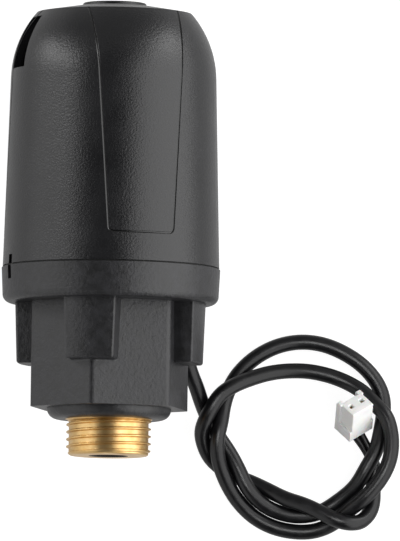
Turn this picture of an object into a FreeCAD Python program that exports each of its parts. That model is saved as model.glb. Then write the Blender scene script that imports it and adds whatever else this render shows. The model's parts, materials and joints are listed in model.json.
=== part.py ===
import FreeCAD, Part
import math
import os
import Sketcher

Vector = FreeCAD.Vector
Placement = FreeCAD.Placement
Rotation = FreeCAD.Rotation

doc = FreeCAD.newDocument("pump_pressure_switch")

# Driving dimensions in millimetres and degrees. Radii are named radius, heights are steps along the
# switch's axis, counted from the open end of the brass inlet towards the crown.
driving_dimensions = [
    ("origin_height", 56.425),
    ("inlet_radius", 10.4775),
    ("inlet_length", 9.0),
    ("inlet_chamfer", 1.2),
    ("inlet_bore_radius", 4.5),
    ("inlet_bore_depth", 8.0),
    ("orifice_radius", 2.5),
    ("orifice_cone", 1.2),
    ("insert_neck_radius", 10.8),
    ("insert_neck_length", 2.0),
    ("insert_head_radius", 12.2),
    ("insert_head_length", 7.0),
    ("flange_radius", 15.35),
    ("flange_round", 2.6),
    ("flange_height", 2.7),
    ("hex_flats", 35.4),
    ("hex_height", 26.0),
    ("hex_round", 1.8),
    ("lug_reach_radius", 23.0),
    ("lug_width", 12.2),
    ("lug_height", 15.0),
    ("lug_root_radius", 12.0),
    ("lug_draft", 2.0),
    ("lug_round", 0.7),
    ("lug_turn", 13.0),
    ("collar_radius", 27.0),
    ("collar_foot_radius", 26.7),
    ("collar_height", 8.55),
    ("collar_round", 2.0),
    ("collar_wall", 2.45),
    ("floor_thickness", 2.5),
    ("waterway_radius", 6.0),
    ("chamber_radius", 13.0),
    ("chamber_depth", 16.0),
    ("seat_radius", 17.2),
    ("seat_depth", 1.5),
    ("diaphragm_web", 1.0),
    ("diaphragm_bead_radius", 14.2),
    ("diaphragm_radius", 17.1),
    ("gasket_thickness", 0.4),
    ("gasket_radius", 25.7),
    ("cap_radius", 26.75),
    ("cap_wall", 2.2),
    ("cap_lip_depth", 1.6),
    ("cap_lip_height", 6.8),
    ("cap_lip_radius", 24.25),
    ("cap_lip_wall", 0.8),
    ("dome_radius", 25.4),
    ("dome_centre_height", 46.3),
    ("crown_edge_radius", 19.2),
    ("crown_seat_radius", 8.2),
    ("crown_seat_height", 64.8),
    ("plug_hole_radius", 6.0),
    ("plug_head_radius", 7.85),
    ("plug_head_height", 0.7),
    ("plug_dish_radius", 3.3),
    ("plug_stem_length", 4.5),
    ("panel_foot_height", 6.95),
    ("panel_foot_width", 16.7),
    ("panel_head_width", 23.2),
    ("panel_corner", 1.3),
    ("panel_groove_width", 0.56),
    ("panel_groove_depth", 0.25),
    ("window_sill_height", 48.5),
    ("window_head_height", 61.35),
    ("window_start", 203.0),
    ("window_angle", 19.2),
    ("window_depth_radius", 17.4),
    ("pry_notch_width", 2.0),
    ("pry_notch_depth", 1.1),
    ("pry_notch_height", 2.2),
    ("pry_notch_drop", 3.4),
    ("pry_notch_angle", 215.0),
    ("plate_radius", 24.2),
    ("plate_thickness", 3.0),
    ("plate_notch_radius", 3.9),
    ("guide_wall", 1.3),
    ("guide_height", 2.8),
    ("screw_circle_radius", 19.8),
    ("screw_shank_radius", 1.25),
    ("screw_clearance_radius", 1.6),
    ("screw_head_radius", 2.6),
    ("screw_head_height", 2.1),
    ("screw_depth", 11.0),
    ("pilot_depth", 12.0),
    ("piston_radius", 9.6),
    ("piston_height", 7.75),
    ("piston_floor", 3.25),
    ("piston_pocket_radius", 7.8),
    ("piston_post_radius", 5.2),
    ("piston_post_height", 6.75),
    ("running_gap", 0.05),
    ("arm_ring_radius", 8.1),
    ("arm_thickness", 1.0),
    ("arm_width", 6.0),
    ("arm_reach", 17.4),
    ("arm_window_margin", 1.0),
    ("arm_window_travel", 2.0),
    ("spring_radius", 6.4),
    ("spring_wire_radius", 0.8),
    ("spring_length", 26.5),
    ("spring_turns", 7.0),
    ("frame_inside", 22.4),
    ("frame_gauge", 1.5),
    ("frame_width", 12.0),
    ("frame_height", 48.8),
    ("frame_foot_reach", 22.0),
    ("frame_foot_corner", 3.0),
    ("frame_bend", 0.8),
    ("nut_spigot", 2.5),
    ("nut_seat_radius", 8.6),
    ("nut_seat_height", 3.0),
    ("nut_hub_radius", 6.5),
    ("nut_hub_height", 3.0),
    ("key_width", 3.8),
    ("key_reach", 14.2),
    ("keyway_gap", 0.2),
    ("keyway_below_nut", 5.0),
    ("keyway_above_nut", 10.0),
    ("adjuster_radius", 4.0),
    ("adjuster_length", 40.8),
    ("adjuster_above_frame", 6.8),
    ("adjuster_collar_radius", 6.0),
    ("adjuster_collar_height", 2.3),
    ("adjuster_end_play", 0.2),
    ("adjuster_chamfer", 0.6),
    ("adjuster_slot", 1.6),
    ("adjuster_slot_depth", 2.0),
    ("clip_groove_radius", 3.2),
    ("clip_groove_width", 0.9),
    ("clip_thickness", 0.8),
    ("clip_mouth", 4.4),
    ("switch_length", 19.8),
    ("switch_depth", 6.4),
    ("switch_height", 10.2),
    ("switch_cover", 1.6),
    ("switch_corner", 0.9),
    ("switch_hole_spacing", 9.5),
    ("switch_hole_height", 6.8),
    ("switch_hole_radius", 1.1),
    ("switch_shank_radius", 1.0),
    ("switch_shank_spare", 0.5),
    ("switch_screw_radius", 1.9),
    ("switch_screw_height", 1.3),
    ("switch_above_arm", 1.2),
    ("button_radius", 1.2),
    ("button_reach", 0.8),
    ("button_depth", 1.6),
    ("button_round", 0.5),
    ("button_offset", 1.5),
    ("button_guide_depth", 3.0),
    ("blade_width", 3.0),
    ("blade_gauge", 0.5),
    ("blade_length", 5.5),
    ("blade_spacing", 8.2),
    ("cable_radius", 1.9),
    ("cable_circle_radius", 21.2),
    ("cable_angle", 45.0),
    ("cable_end_height", 8.8),
    ("grommet_radius", 2.7),
    ("grommet_nose", 2.5),
    ("grommet_nose_radius", 2.3),
    ("grommet_flange_radius", 3.2),
    ("grommet_flange_height", 1.4),
    ("tie_radius", 3.0),
    ("tie_height", 1.6),
    ("tie_lift", 0.1),
    ("tie_lock_near", 2.1),
    ("tie_lock_far", 5.3),
    ("tie_lock_width", 3.2),
    ("core_radius", 0.8),
    ("core_spread", 0.84),
    ("near_core_rise", 8.0),
    ("far_core_rise", 12.0),
    ("coil_centre_x", 46.3),
    ("coil_centre_y", -50.5),
    ("coil_outer_radius", 26.4),
    ("coil_inner_radius", 15.5),
    ("coil_height", 10.0),
    ("coil_round", 3.0),
    ("housing_width", 7.6),
    ("housing_depth", 5.9),
    ("housing_length", 9.6),
    ("housing_pitch", 3.3),
    ("housing_skirt_height", 3.4),
    ("housing_step", 0.5),
    ("housing_rib_depth", 1.6),
    ("housing_rib_width", 1.5),
    ("housing_relief_depth", 1.0),
    ("socket_width", 1.7),
    ("socket_mouth", 1.0),
    ("socket_lip", 1.0),
    ("socket_low", -1.05),
    ("socket_high", 0.65),
    ("latch_width", 1.2),
    ("latch_base", 4.0),
    ("latch_top", 6.4),
    ("latch_depth", 2.4),
    ("contact_width", 1.5),
    ("contact_gap", 0.1),
    ("contact_base", 3.0),
    ("contact_setback", 1.2),
    ("plug_core_mouth", 1.59),
    ("plug_core_mouth_drop", 1.0),
    ("plug_core_bend", 0.88),
    ("plug_core_bend_drop", 3.2),
    ("plug_core_bend_lift", 0.3),
    ("plug_core_lowest", 1.2),
    ("plug_core_tail_x", 1.5),
    ("plug_core_tail_y", -3.3),
    ("plug_core_tail_z", -0.2),
    ("nest_room", 0.3),
    ("housing_x", 60.6),
    ("housing_y", -47.15),
    ("housing_lift", 3.5),
    ("housing_heading", -4.3),
    ("housing_lean", 37.7),
    ("housing_roll", 43.9),
]

sheet = doc.addObject("Spreadsheet::Sheet", "dims")
for row, (alias, number) in enumerate(driving_dimensions, start=1):
    sheet.set(f"A{row}", alias)
    sheet.set(f"B{row}", str(number))
    sheet.setAlias(f"B{row}", alias)
doc.recompute()


class Size:
    """A length: its number now, and the sheet expression that it follows."""

    def __init__(self, value, text):
        self.value = value
        self.text = text

    def __add__(self, other):
        other = as_size(other)
        return Size(self.value + other.value, f"({self.text} + {other.text})")

    def __sub__(self, other):
        other = as_size(other)
        return Size(self.value - other.value, f"({self.text} - {other.text})")

    def __mul__(self, other):
        other = as_size(other)
        return Size(self.value * other.value, f"({self.text} * {other.text})")

    def __truediv__(self, other):
        other = as_size(other)
        return Size(self.value / other.value, f"({self.text} / {other.text})")

    def __neg__(self):
        return Size(-self.value, f"(-1 * {self.text})")


def as_size(number):
    return number if isinstance(number, Size) else Size(float(number), repr(float(number)))


def dim(alias):
    return Size(float(sheet.get(alias)), f"dims.{alias}")


def root_of(length):
    return Size(math.sqrt(length.value), f"sqrt({length.text})")


def cosine(angle):
    return Size(math.cos(math.radians(angle.value)), f"cos({angle.text})")


def sine(angle):
    return Size(math.sin(math.radians(angle.value)), f"sin({angle.text})")


zero = as_size(0)

# How far a cutting outline reaches past the face that it cuts
overshoot = as_size(1)

# Heights along the axis
flange_base = dim("inlet_length")
hex_base = flange_base + dim("flange_height")
collar_base = hex_base + dim("hex_height")
floor_top = collar_base + dim("floor_thickness")
collar_top = collar_base + dim("collar_height")
cap_base = collar_top + dim("gasket_thickness")
crown_seat = cap_base + dim("crown_seat_height")
crown_top = crown_seat + dim("plug_head_height")
plate_top = floor_top + dim("plate_thickness")
piston_base = floor_top + dim("running_gap")
piston_top = piston_base + dim("piston_height")
spring_base = piston_base + dim("piston_floor")
nut_base = spring_base + dim("spring_length")
arm_top = piston_top + dim("arm_thickness")
switch_base = arm_top + dim("switch_above_arm")
switch_top = switch_base + dim("switch_height")
frame_top = plate_top + dim("frame_height")
groove_base = frame_top + dim("adjuster_end_play")
switch_holes = switch_base + dim("switch_hole_height")
leg_inside = dim("frame_inside") / 2
leg_outside = leg_inside + dim("frame_gauge")
case_outside = leg_outside + dim("switch_depth") - dim("switch_cover")
switch_outside = leg_outside + dim("switch_depth")
cable_x = dim("cable_circle_radius") * cosine(dim("cable_angle"))
cable_y = dim("cable_circle_radius") * sine(dim("cable_angle"))

# The switch lies on its side: its axis is level, along +Y, and the lugs are turned as it came to rest.
axis_height = dim("collar_radius").value
lying = Placement(Vector(0, -dim("origin_height").value, axis_height), Rotation(Vector(1, 0, 0), -90))
lying = lying.multiply(Placement(Vector(), Rotation(Vector(0, 0, 1), -dim("lug_turn").value)))
cable_axis = lying.multiply(Placement(Vector(cable_x.value, cable_y.value, 0), Rotation()))

subparts = []


def keep(label, feature, place=lying):
    """Names a finished sub-part and lays it in its place."""
    feature.Label = label
    feature.Placement = place
    subparts.append(feature)
    return feature


def plane_of(body, role):
    return next(item for item in body.Origin.OriginFeatures if item.Role == role)


def new_body(name):
    return doc.addObject("PartDesign::Body", name + "_body")


def body_sketch(body, name, role="XZ_Plane", offset=None):
    sketch = body.newObject("Sketcher::SketchObject", name)
    sketch.AttachmentSupport = (plane_of(body, role), [""])
    sketch.MapMode = "FlatFace"
    if offset is not None:
        sketch.setExpression("AttachmentOffset.Base.z", offset.text)
    return sketch


def free_sketch(name, rotation=Rotation(Vector(1, 0, 0), 90)):
    sketch = doc.addObject("Sketcher::SketchObject", name)
    sketch.Placement = Placement(Vector(), rotation)
    return sketch


def drive(sketch, kind, references, length):
    index = sketch.addConstraint(Sketcher.Constraint(kind, *references, length.value))
    sketch.setExpression(f"Constraints[{index}]", length.text)


def pin_point(sketch, geometry, end, across, along):
    """Holds a sketch point at its distances from the two axes."""
    for kind, length, axis in (("DistanceX", across, -2), ("DistanceY", along, -1)):
        if abs(length.value) < 1e-9:
            sketch.addConstraint(Sketcher.Constraint("PointOnObject", geometry, end, axis))
        elif length.value > 0:
            drive(sketch, kind, (-1, 1, geometry, end), length)
        else:
            drive(sketch, kind, (geometry, end, -1, 1), -length)


def outline(sketch, points):
    """A closed outline. A third value on a point makes the run to the next point an arc of that radius,
    positive to the left of the chord's direction (counter-clockwise) and negative to the right."""
    points = [tuple(as_size(value) for value in point) for point in points]
    ends = []
    for index, point in enumerate(points):
        following = points[(index + 1) % len(points)]
        start = Vector(point[0].value, point[1].value, 0)
        stop = Vector(following[0].value, following[1].value, 0)
        if len(point) == 2:
            geometry = sketch.addGeometry(Part.LineSegment(start, stop), False)
            ends.append((geometry, 1, 2))
            continue
        bend = point[2]
        chord = stop - start
        half = chord.Length / 2
        reach = math.sqrt(max(bend.value ** 2 - half ** 2, 0))
        left = Vector(-chord.y, chord.x, 0).normalize()
        side = 1 if bend.value > 0 else -1
        centre = (start + stop) / 2 + left * reach * side
        bulge = centre - left * abs(bend.value) * side
        geometry = sketch.addGeometry(Part.Arc(start, bulge, stop), False)
        ends.append((geometry, 1, 2) if side > 0 else (geometry, 2, 1))
        drive(sketch, "Radius", (geometry,), bend if side > 0 else -bend)
    for index, (geometry, first, last) in enumerate(ends):
        following, start_end, unused = ends[(index + 1) % len(ends)]
        sketch.addConstraint(Sketcher.Constraint("Coincident", geometry, last, following, start_end))
        pin_point(sketch, geometry, first, points[index][0], points[index][1])
    return sketch


def circle(sketch, across, along, radius):
    across, along, radius = as_size(across), as_size(along), as_size(radius)
    centre = Vector(across.value, along.value, 0)
    geometry = sketch.addGeometry(Part.Circle(centre, Vector(0, 0, 1), radius.value), False)
    drive(sketch, "Radius", (geometry,), radius)
    if abs(across.value) < 1e-9 and abs(along.value) < 1e-9:
        sketch.addConstraint(Sketcher.Constraint("Coincident", geometry, 3, -1, 1))
    else:
        pin_point(sketch, geometry, 3, across, along)
    return sketch


def rectangle(sketch, left, right, bottom, top):
    return outline(sketch, [(left, bottom), (right, bottom), (right, top), (left, top)])


def revolve(body, sketch, kind="Revolution"):
    feature = body.newObject("PartDesign::" + kind, sketch.Name + "_turned")
    feature.Profile = sketch
    feature.ReferenceAxis = (sketch, ["V_Axis"])
    feature.Angle = 360
    doc.recompute()
    return feature


def pad(body, sketch, length, midplane=False):
    feature = body.newObject("PartDesign::Pad", sketch.Name + "_pad")
    feature.Profile = sketch
    feature.setExpression("Length", as_size(length).text)
    feature.Midplane = midplane
    doc.recompute()
    return feature


def pocket(body, sketch, length, reverse=False, midplane=False):
    before = body.Shape.Volume
    feature = body.newObject("PartDesign::Pocket", sketch.Name + "_cut")
    feature.Profile = sketch
    feature.setExpression("Length", as_size(length).text)
    feature.Reversed = reverse
    feature.Midplane = midplane
    doc.recompute()
    if body.Shape.Volume > before - 1e-6:
        raise RuntimeError(sketch.Name + " cuts nothing")
    return feature


def around_axis(body, features, count):
    pattern = body.newObject("PartDesign::PolarPattern", features[0].Name + "_ring")
    pattern.Originals = features
    pattern.Axis = (plane_of(body, "Z_Axis"), [""])
    pattern.Angle = 360
    pattern.Occurrences = count
    body.Tip = pattern
    doc.recompute()
    return pattern


def edges_where(shape, wanted):
    return [f"Edge{index}" for index, edge in enumerate(shape.Edges, start=1) if wanted(edge)]


def round_edges(body, wanted, radius, kind="Fillet"):
    base = body.Tip
    feature = body.newObject("PartDesign::" + kind, f"{base.Name}_{kind.lower()}")
    feature.Base = (base, edges_where(base.Shape, wanted))
    feature.setExpression("Radius" if kind == "Fillet" else "Size", as_size(radius).text)
    doc.recompute()
    return feature


def is_upright(edge):
    tangent = edge.tangentAt(edge.FirstParameter)
    return edge.Curve.TypeId == "Part::GeomLine" and abs(tangent.z) > 0.99


def middle(edge):
    return edge.valueAt((edge.FirstParameter + edge.LastParameter) / 2)


def near(number, length, slack=0.02):
    return abs(number - as_size(length).value) < slack


def boolean(kind, name, base, tool):
    feature = doc.addObject("Part::" + kind, name)
    feature.Base = base
    feature.Tool = tool
    doc.recompute()
    return feature


def joined(name, shapes, kind="Part::MultiFuse"):
    feature = doc.addObject(kind, name)
    if kind == "Part::Compound":
        feature.Links = shapes
    else:
        feature.Shapes = shapes
    doc.recompute()
    return feature


def cylinder(name, radius, height, base=(zero, zero, zero), axis=Vector(0, 0, 1)):
    feature = doc.addObject("Part::Cylinder", name)
    feature.setExpression("Radius", as_size(radius).text)
    feature.setExpression("Height", as_size(height).text)
    origin = Vector(*[as_size(value).value for value in base])
    feature.Placement = Placement(origin, Rotation(Vector(0, 0, 1), axis))
    return feature


def block(name, lows, highs):
    """A box between two corners."""
    feature = doc.addObject("Part::Box", name)
    lows = [as_size(value) for value in lows]
    highs = [as_size(value) for value in highs]
    for side, low, high in zip(("Length", "Width", "Height"), lows, highs):
        feature.setExpression(side, (high - low).text)
    feature.Placement = Placement(Vector(*[value.value for value in lows]), Rotation())
    return feature


# Brass inlet: a male pipe thread at its outside diameter, a bore that narrows to an orifice, and a head
# that the base is moulded round
neck_top = flange_base + dim("insert_neck_length")
head_top = neck_top + dim("insert_head_length")


def make_inlet_fitting():
    body = new_body("inlet_fitting")
    profile = body_sketch(body, "inlet_profile")
    bore = dim("inlet_bore_radius")
    orifice = dim("orifice_radius")
    outline(profile, [
        (bore, zero),
        (dim("inlet_radius") - dim("inlet_chamfer"), zero),
        (dim("inlet_radius"), dim("inlet_chamfer")),
        (dim("inlet_radius"), flange_base),
        (dim("insert_neck_radius"), flange_base),
        (dim("insert_neck_radius"), neck_top),
        (dim("insert_head_radius"), neck_top),
        (dim("insert_head_radius"), head_top),
        (orifice, head_top),
        (orifice, dim("inlet_bore_depth") + dim("orifice_cone")),
        (bore, dim("inlet_bore_depth")),
    ])
    revolve(body, profile)
    keep("inlet_fitting", body)


# Base moulding: round flange, hexagon, four drafted lugs and the collar that the cap stands on
def make_base_housing():
    body = new_body("base_housing")
    profile = body_sketch(body, "base_profile")
    outline(profile, [
        (zero, flange_base),
        (dim("flange_radius") - dim("flange_round"), flange_base, dim("flange_round")),
        (dim("flange_radius"), flange_base + dim("flange_round")),
        (dim("flange_radius"), collar_base),
        (dim("collar_foot_radius") - dim("collar_round"), collar_base, dim("collar_round")),
        (dim("collar_foot_radius"), collar_base + dim("collar_round")),
        (dim("collar_radius"), collar_top),
        (zero, collar_top),
    ])
    revolve(body, profile)

    apothem = dim("hex_flats") / 2
    half_side = apothem / math.sqrt(3)
    hexagon = body_sketch(body, "hexagon", "XY_Plane", hex_base)
    outline(hexagon, [
        (apothem, -half_side),
        (apothem, half_side),
        (zero, half_side * 2),
        (-apothem, half_side),
        (-apothem, -half_side),
        (zero, -half_side * 2),
    ])
    pad(body, hexagon, dim("hex_height"))
    corner_radius = half_side.value * 2
    round_edges(
        body,
        lambda edge: is_upright(edge) and near(math.hypot(middle(edge).x, middle(edge).y), corner_radius),
        dim("hex_round"))

    lug_base = collar_base - dim("lug_height")
    half_width = dim("lug_width") / 2
    reach = dim("lug_reach_radius")
    face = root_of(reach * reach - half_width * half_width)
    lug = body_sketch(body, "lug", "XY_Plane", lug_base)
    outline(lug, [
        (dim("lug_root_radius"), -half_width),
        (face, -half_width, reach),
        (face, half_width),
        (dim("lug_root_radius"), half_width),
    ])
    lug_pad = pad(body, lug, dim("lug_height"))
    lug_pad.setExpression("TaperAngle", dim("lug_draft").text)
    doc.recompute()
    around_axis(body, [lug_pad], 4)

    def on_lug_foot(edge):
        spot = middle(edge)
        return near(spot.z, lug_base) and math.hypot(spot.x, spot.y) > apothem.value + 0.5

    def on_lug_side(edge):
        spot = middle(edge)
        rising = abs(edge.tangentAt(edge.FirstParameter).z) > 0.9
        return rising and lug_base.value < spot.z < collar_base.value \
            and math.hypot(spot.x, spot.y) > reach.value - 0.5

    round_edges(body, lambda edge: on_lug_foot(edge) or on_lug_side(edge), dim("lug_round"))

    hollow = body_sketch(body, "base_hollow")
    seat = floor_top - dim("seat_depth")
    collar_inside = dim("collar_radius") - dim("collar_wall")
    outline(hollow, [
        (zero, flange_base),
        (dim("insert_neck_radius"), flange_base),
        (dim("insert_neck_radius"), neck_top),
        (dim("insert_head_radius"), neck_top),
        (dim("insert_head_radius"), head_top),
        (dim("waterway_radius"), head_top),
        (dim("waterway_radius"), floor_top - dim("chamber_depth")),
        (dim("chamber_radius"), floor_top - dim("chamber_depth")),
        (dim("chamber_radius"), seat),
        (dim("seat_radius"), seat),
        (dim("seat_radius"), floor_top),
        (collar_inside, floor_top),
        (collar_inside, collar_top),
        (zero, collar_top),
    ])
    revolve(body, hollow, "Groove")

    pilot = body_sketch(body, "lug_pilot", "XY_Plane", floor_top)
    circle(pilot, dim("screw_circle_radius"), zero, dim("screw_shank_radius"))
    pilot_hole = pocket(body, pilot, dim("pilot_depth"))
    around_axis(body, [pilot_hole], 4)

    lead_hole = body_sketch(body, "lead_hole", "XY_Plane", floor_top)
    circle(lead_hole, cable_x, cable_y, dim("grommet_radius"))
    pocket(body, lead_hole, dim("floor_thickness"))

    notch = body_sketch(body, "collar_notch", "XY_Plane", collar_top)
    notch_outline(notch)
    pocket(body, notch, dim("pry_notch_drop"))
    keep("base_housing", body)


def notch_outline(sketch):
    """A slot across the rim at the pry notch's angle, reaching past the outside of cap and collar."""
    angle = dim("pry_notch_angle")
    half = dim("pry_notch_width") / 2
    inside = dim("collar_radius") - dim("pry_notch_depth")
    outside = dim("collar_radius") + overshoot
    corners = []
    for across, along in ((inside, -half), (outside, -half), (outside, half), (inside, half)):
        corners.append((
            across * cosine(angle) - along * sine(angle),
            across * sine(angle) + along * cosine(angle),
        ))
    return outline(sketch, corners)


# Cap: a drafted wall that runs into a dome, cut off at the crown
def dome_side(sketch, start, inset, edge_radius, upward):
    """The drafted line from start, tangent to the dome's circle, and the arc on to the crown edge. An
    inset makes the same side that much further in. The joint between line and arc follows from the
    tangency. Returns the two geometries, and their ends, in the order of the outline."""
    radius = dim("dome_radius") - inset
    centre = cap_base + dim("dome_centre_height")
    rise = start[1].value - centre.value
    touch = math.atan2(rise, start[0].value) + math.acos(radius.value / math.hypot(start[0].value, rise))
    joint = Vector(radius.value * math.cos(touch), centre.value + radius.value * math.sin(touch), 0)
    foot = Vector(start[0].value, start[1].value, 0)
    last = math.acos(edge_radius.value / radius.value)
    arc = Part.ArcOfCircle(
        Part.Circle(Vector(0, centre.value, 0), Vector(0, 0, 1), radius.value), touch, last)
    wall = sketch.addGeometry(Part.LineSegment(foot, joint), False)
    dome = sketch.addGeometry(arc, False)
    sketch.addConstraint(Sketcher.Constraint("Tangent", wall, 2, dome, 1))
    sketch.addConstraint(Sketcher.Constraint("PointOnObject", dome, 3, -2))
    drive(sketch, "DistanceY", (-1, 1, dome, 3), centre)
    drive(sketch, "Radius", (dome,), radius)
    drive(sketch, "DistanceX", (-1, 1, dome, 2), edge_radius)
    pin_point(sketch, wall, 1, start[0], start[1])
    pieces = [(wall, 1, 2), (dome, 1, 2)]
    if upward:
        return pieces
    return [(dome, 2, 1), (wall, 2, 1)]


def link(sketch, pieces, points):
    """Straight runs from the end of pieces[0] through the points to the start of pieces[1], and so on
    round, so that the outline closes."""
    for index, (stretch, between) in enumerate(zip(pieces, points)):
        following = pieces[(index + 1) % len(pieces)][0]
        geometry, unused, last = stretch[-1]
        here = (geometry, last)
        for point in between:
            spot = Vector(point[0].value, point[1].value, 0)
            line = sketch.addGeometry(Part.LineSegment(sketch.getPoint(*here), spot), False)
            sketch.addConstraint(Sketcher.Constraint("Coincident", here[0], here[1], line, 1))
            pin_point(sketch, line, 2, point[0], point[1])
            here = (line, 2)
        stop = sketch.getPoint(following[0], following[1])
        line = sketch.addGeometry(Part.LineSegment(sketch.getPoint(*here), stop), False)
        sketch.addConstraint(Sketcher.Constraint("Coincident", here[0], here[1], line, 1))
        sketch.addConstraint(Sketcher.Constraint("Coincident", line, 2, following[0], following[1]))
    return sketch


def turned(name, sketch, angle=360):
    feature = doc.addObject("Part::Revolution", name)
    feature.Source = sketch
    feature.Axis = Vector(0, 0, 1)
    feature.Angle = angle
    feature.Solid = True
    doc.recompute()
    return feature


def panel_prism(name, angle, margin):
    """A tapered panel's outline, grown by the margin and run out from the axis at the angle."""
    turn = Rotation(Vector(0, 0, 1), angle + 90).multiply(Rotation(Vector(1, 0, 0), 90))
    foot = cap_base + dim("panel_foot_height") - margin
    half_foot = dim("panel_foot_width") / 2 + margin
    half_head = dim("panel_head_width") / 2 + margin
    corner = dim("panel_corner") + margin
    sketch = free_sketch(name + "_outline", turn)
    outline(sketch, [
        (half_foot - corner, foot, corner),
        (half_foot, foot + corner),
        (half_head, crown_top),
        (-half_head, crown_top),
        (-half_foot, foot + corner, corner),
        (-half_foot + corner, foot),
    ])
    prism = doc.addObject("Part::Extrusion", name)
    prism.Base = sketch
    prism.DirMode = "Normal"
    prism.Solid = True
    prism.setExpression("LengthFwd", (dim("cap_radius") * 2).text)
    return prism


def make_cap():
    wall = dim("cap_wall")
    lip_outside = dim("cap_lip_radius")
    lip_inside = lip_outside - dim("cap_lip_wall")
    lip_base = cap_base - dim("cap_lip_depth")
    lip_top = lip_base + dim("cap_lip_height")
    hole = dim("plug_hole_radius")

    shell_sketch = free_sketch("cap_profile")
    outside = dome_side(
        shell_sketch, (dim("cap_radius"), cap_base), zero, dim("crown_edge_radius"), True)
    inside = dome_side(
        shell_sketch, (lip_outside, lip_top), wall, dim("crown_edge_radius") - wall / 2, False)
    link(shell_sketch, [outside, inside], [
        [(dim("crown_seat_radius"), crown_seat), (hole, crown_seat), (hole, crown_seat - wall)],
        [(lip_inside, lip_top), (lip_inside, lip_base), (lip_outside, lip_base), (lip_outside, cap_base)],
    ])
    shell = turned("cap_shell", shell_sketch)

    # Three panels, each outlined by a shallow groove that runs up the wall and over the dome to the crown
    groove_depth = dim("panel_groove_depth")
    half_groove = dim("panel_groove_width") / 2
    band_edge = dim("crown_edge_radius") - overshoot
    band_sketch = free_sketch("groove_band_profile")
    over = dome_side(
        band_sketch, (dim("cap_radius") + groove_depth, cap_base), -groove_depth, band_edge, True)
    under = dome_side(
        band_sketch, (dim("cap_radius") - groove_depth, cap_base), groove_depth, band_edge, False)
    link(band_sketch, [over, under], [[], []])
    band = turned("groove_band", band_sketch)
    outer_prisms = []
    inner_prisms = []
    for number, angle in enumerate((-60, 60, 180)):
        outer_prisms.append(panel_prism(f"panel_outside_{number}", angle, half_groove))
        inner_prisms.append(panel_prism(f"panel_inside_{number}", angle, -half_groove))
    outer_band = boolean("Common", "panel_fields", band, joined("panel_outsides", outer_prisms))
    grooves = boolean("Cut", "panel_grooves", outer_band, joined("panel_insides", inner_prisms))
    moulding = boolean("Cut", "cap_moulding", shell, grooves)

    # Window through the shoulder, and the pry notch in the rim
    window_sketch = free_sketch("window_profile")
    sill = cap_base + dim("window_sill_height")
    head = cap_base + dim("window_head_height")
    rectangle(window_sketch, dim("window_depth_radius"), dim("cap_radius") + overshoot, sill, head)
    window = turned("window", window_sketch)
    window.setExpression("Angle", dim("window_angle").text)
    window.Placement = Placement(Vector(), Rotation(Vector(0, 0, 1), dim("window_start").value))
    notch_sketch = doc.addObject("Sketcher::SketchObject", "cap_notch")
    notch_sketch.Placement = Placement(Vector(0, 0, cap_base.value), Rotation())
    notch_outline(notch_sketch)
    notch = doc.addObject("Part::Extrusion", "cap_notch_cut")
    notch.Base = notch_sketch
    notch.DirMode = "Normal"
    notch.Solid = True
    notch.setExpression("LengthFwd", dim("pry_notch_height").text)
    openings = joined("cap_openings", [window, notch])
    keep("cap", boolean("Cut", "cap", moulding, openings))


def make_cap_gasket():
    body = new_body("cap_gasket")
    profile = body_sketch(body, "gasket_profile")
    inside = dim("collar_radius") - dim("collar_wall")
    rectangle(profile, inside, dim("gasket_radius"), collar_top, cap_base)
    revolve(body, profile)
    keep("cap_gasket", body)


def make_crown_plug():
    body = new_body("crown_plug")
    profile = body_sketch(body, "crown_plug_profile")
    stem = dim("plug_hole_radius") - dim("running_gap")
    dish = dim("plug_dish_radius")
    edge = dim("plug_head_height") / 2
    outline(profile, [
        (zero, crown_seat - dim("plug_stem_length")),
        (stem, crown_seat - dim("plug_stem_length")),
        (stem, crown_seat),
        (dim("plug_head_radius"), crown_seat),
        (dim("plug_head_radius"), crown_top - edge, edge),
        (dim("plug_head_radius") - edge, crown_top),
        (dish, crown_top),
        (dish - edge, crown_top - edge),
        (zero, crown_top - edge),
    ])
    revolve(body, profile)
    keep("crown_plug", body)


# Pressure side: diaphragm, the plate that clamps it, and the piston that it lifts
def make_diaphragm():
    body = new_body("diaphragm")
    profile = body_sketch(body, "diaphragm_profile")
    web = floor_top - dim("diaphragm_web")
    seat = floor_top - dim("seat_depth")
    bead = dim("diaphragm_bead_radius")
    rim = dim("diaphragm_radius")
    outline(profile, [
        (zero, web), (bead, web), (bead, seat), (rim, seat), (rim, floor_top), (zero, floor_top),
    ])
    revolve(body, profile)
    keep("diaphragm", body)


def make_clamp_plate():
    body = new_body("clamp_plate")
    profile = body_sketch(body, "clamp_plate_profile")
    bore = dim("piston_radius") + dim("running_gap")
    guide = bore + dim("guide_wall")
    rim = dim("plate_radius")
    outline(profile, [
        (bore, floor_top),
        (rim, floor_top),
        (rim, plate_top),
        (guide, plate_top),
        (guide, plate_top + dim("guide_height")),
        (bore, plate_top + dim("guide_height")),
    ])
    revolve(body, profile)
    hole = body_sketch(body, "plate_screw_hole", "XY_Plane", plate_top)
    circle(hole, dim("screw_circle_radius"), zero, dim("screw_clearance_radius"))
    around_axis(body, [pocket(body, hole, dim("plate_thickness"))], 4)
    notch = body_sketch(body, "plate_lead_notch", "XY_Plane", plate_top)
    circle(notch, cable_x, cable_y, dim("plate_notch_radius"))
    pocket(body, notch, dim("plate_thickness"))
    keep("clamp_plate", body)


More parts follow.
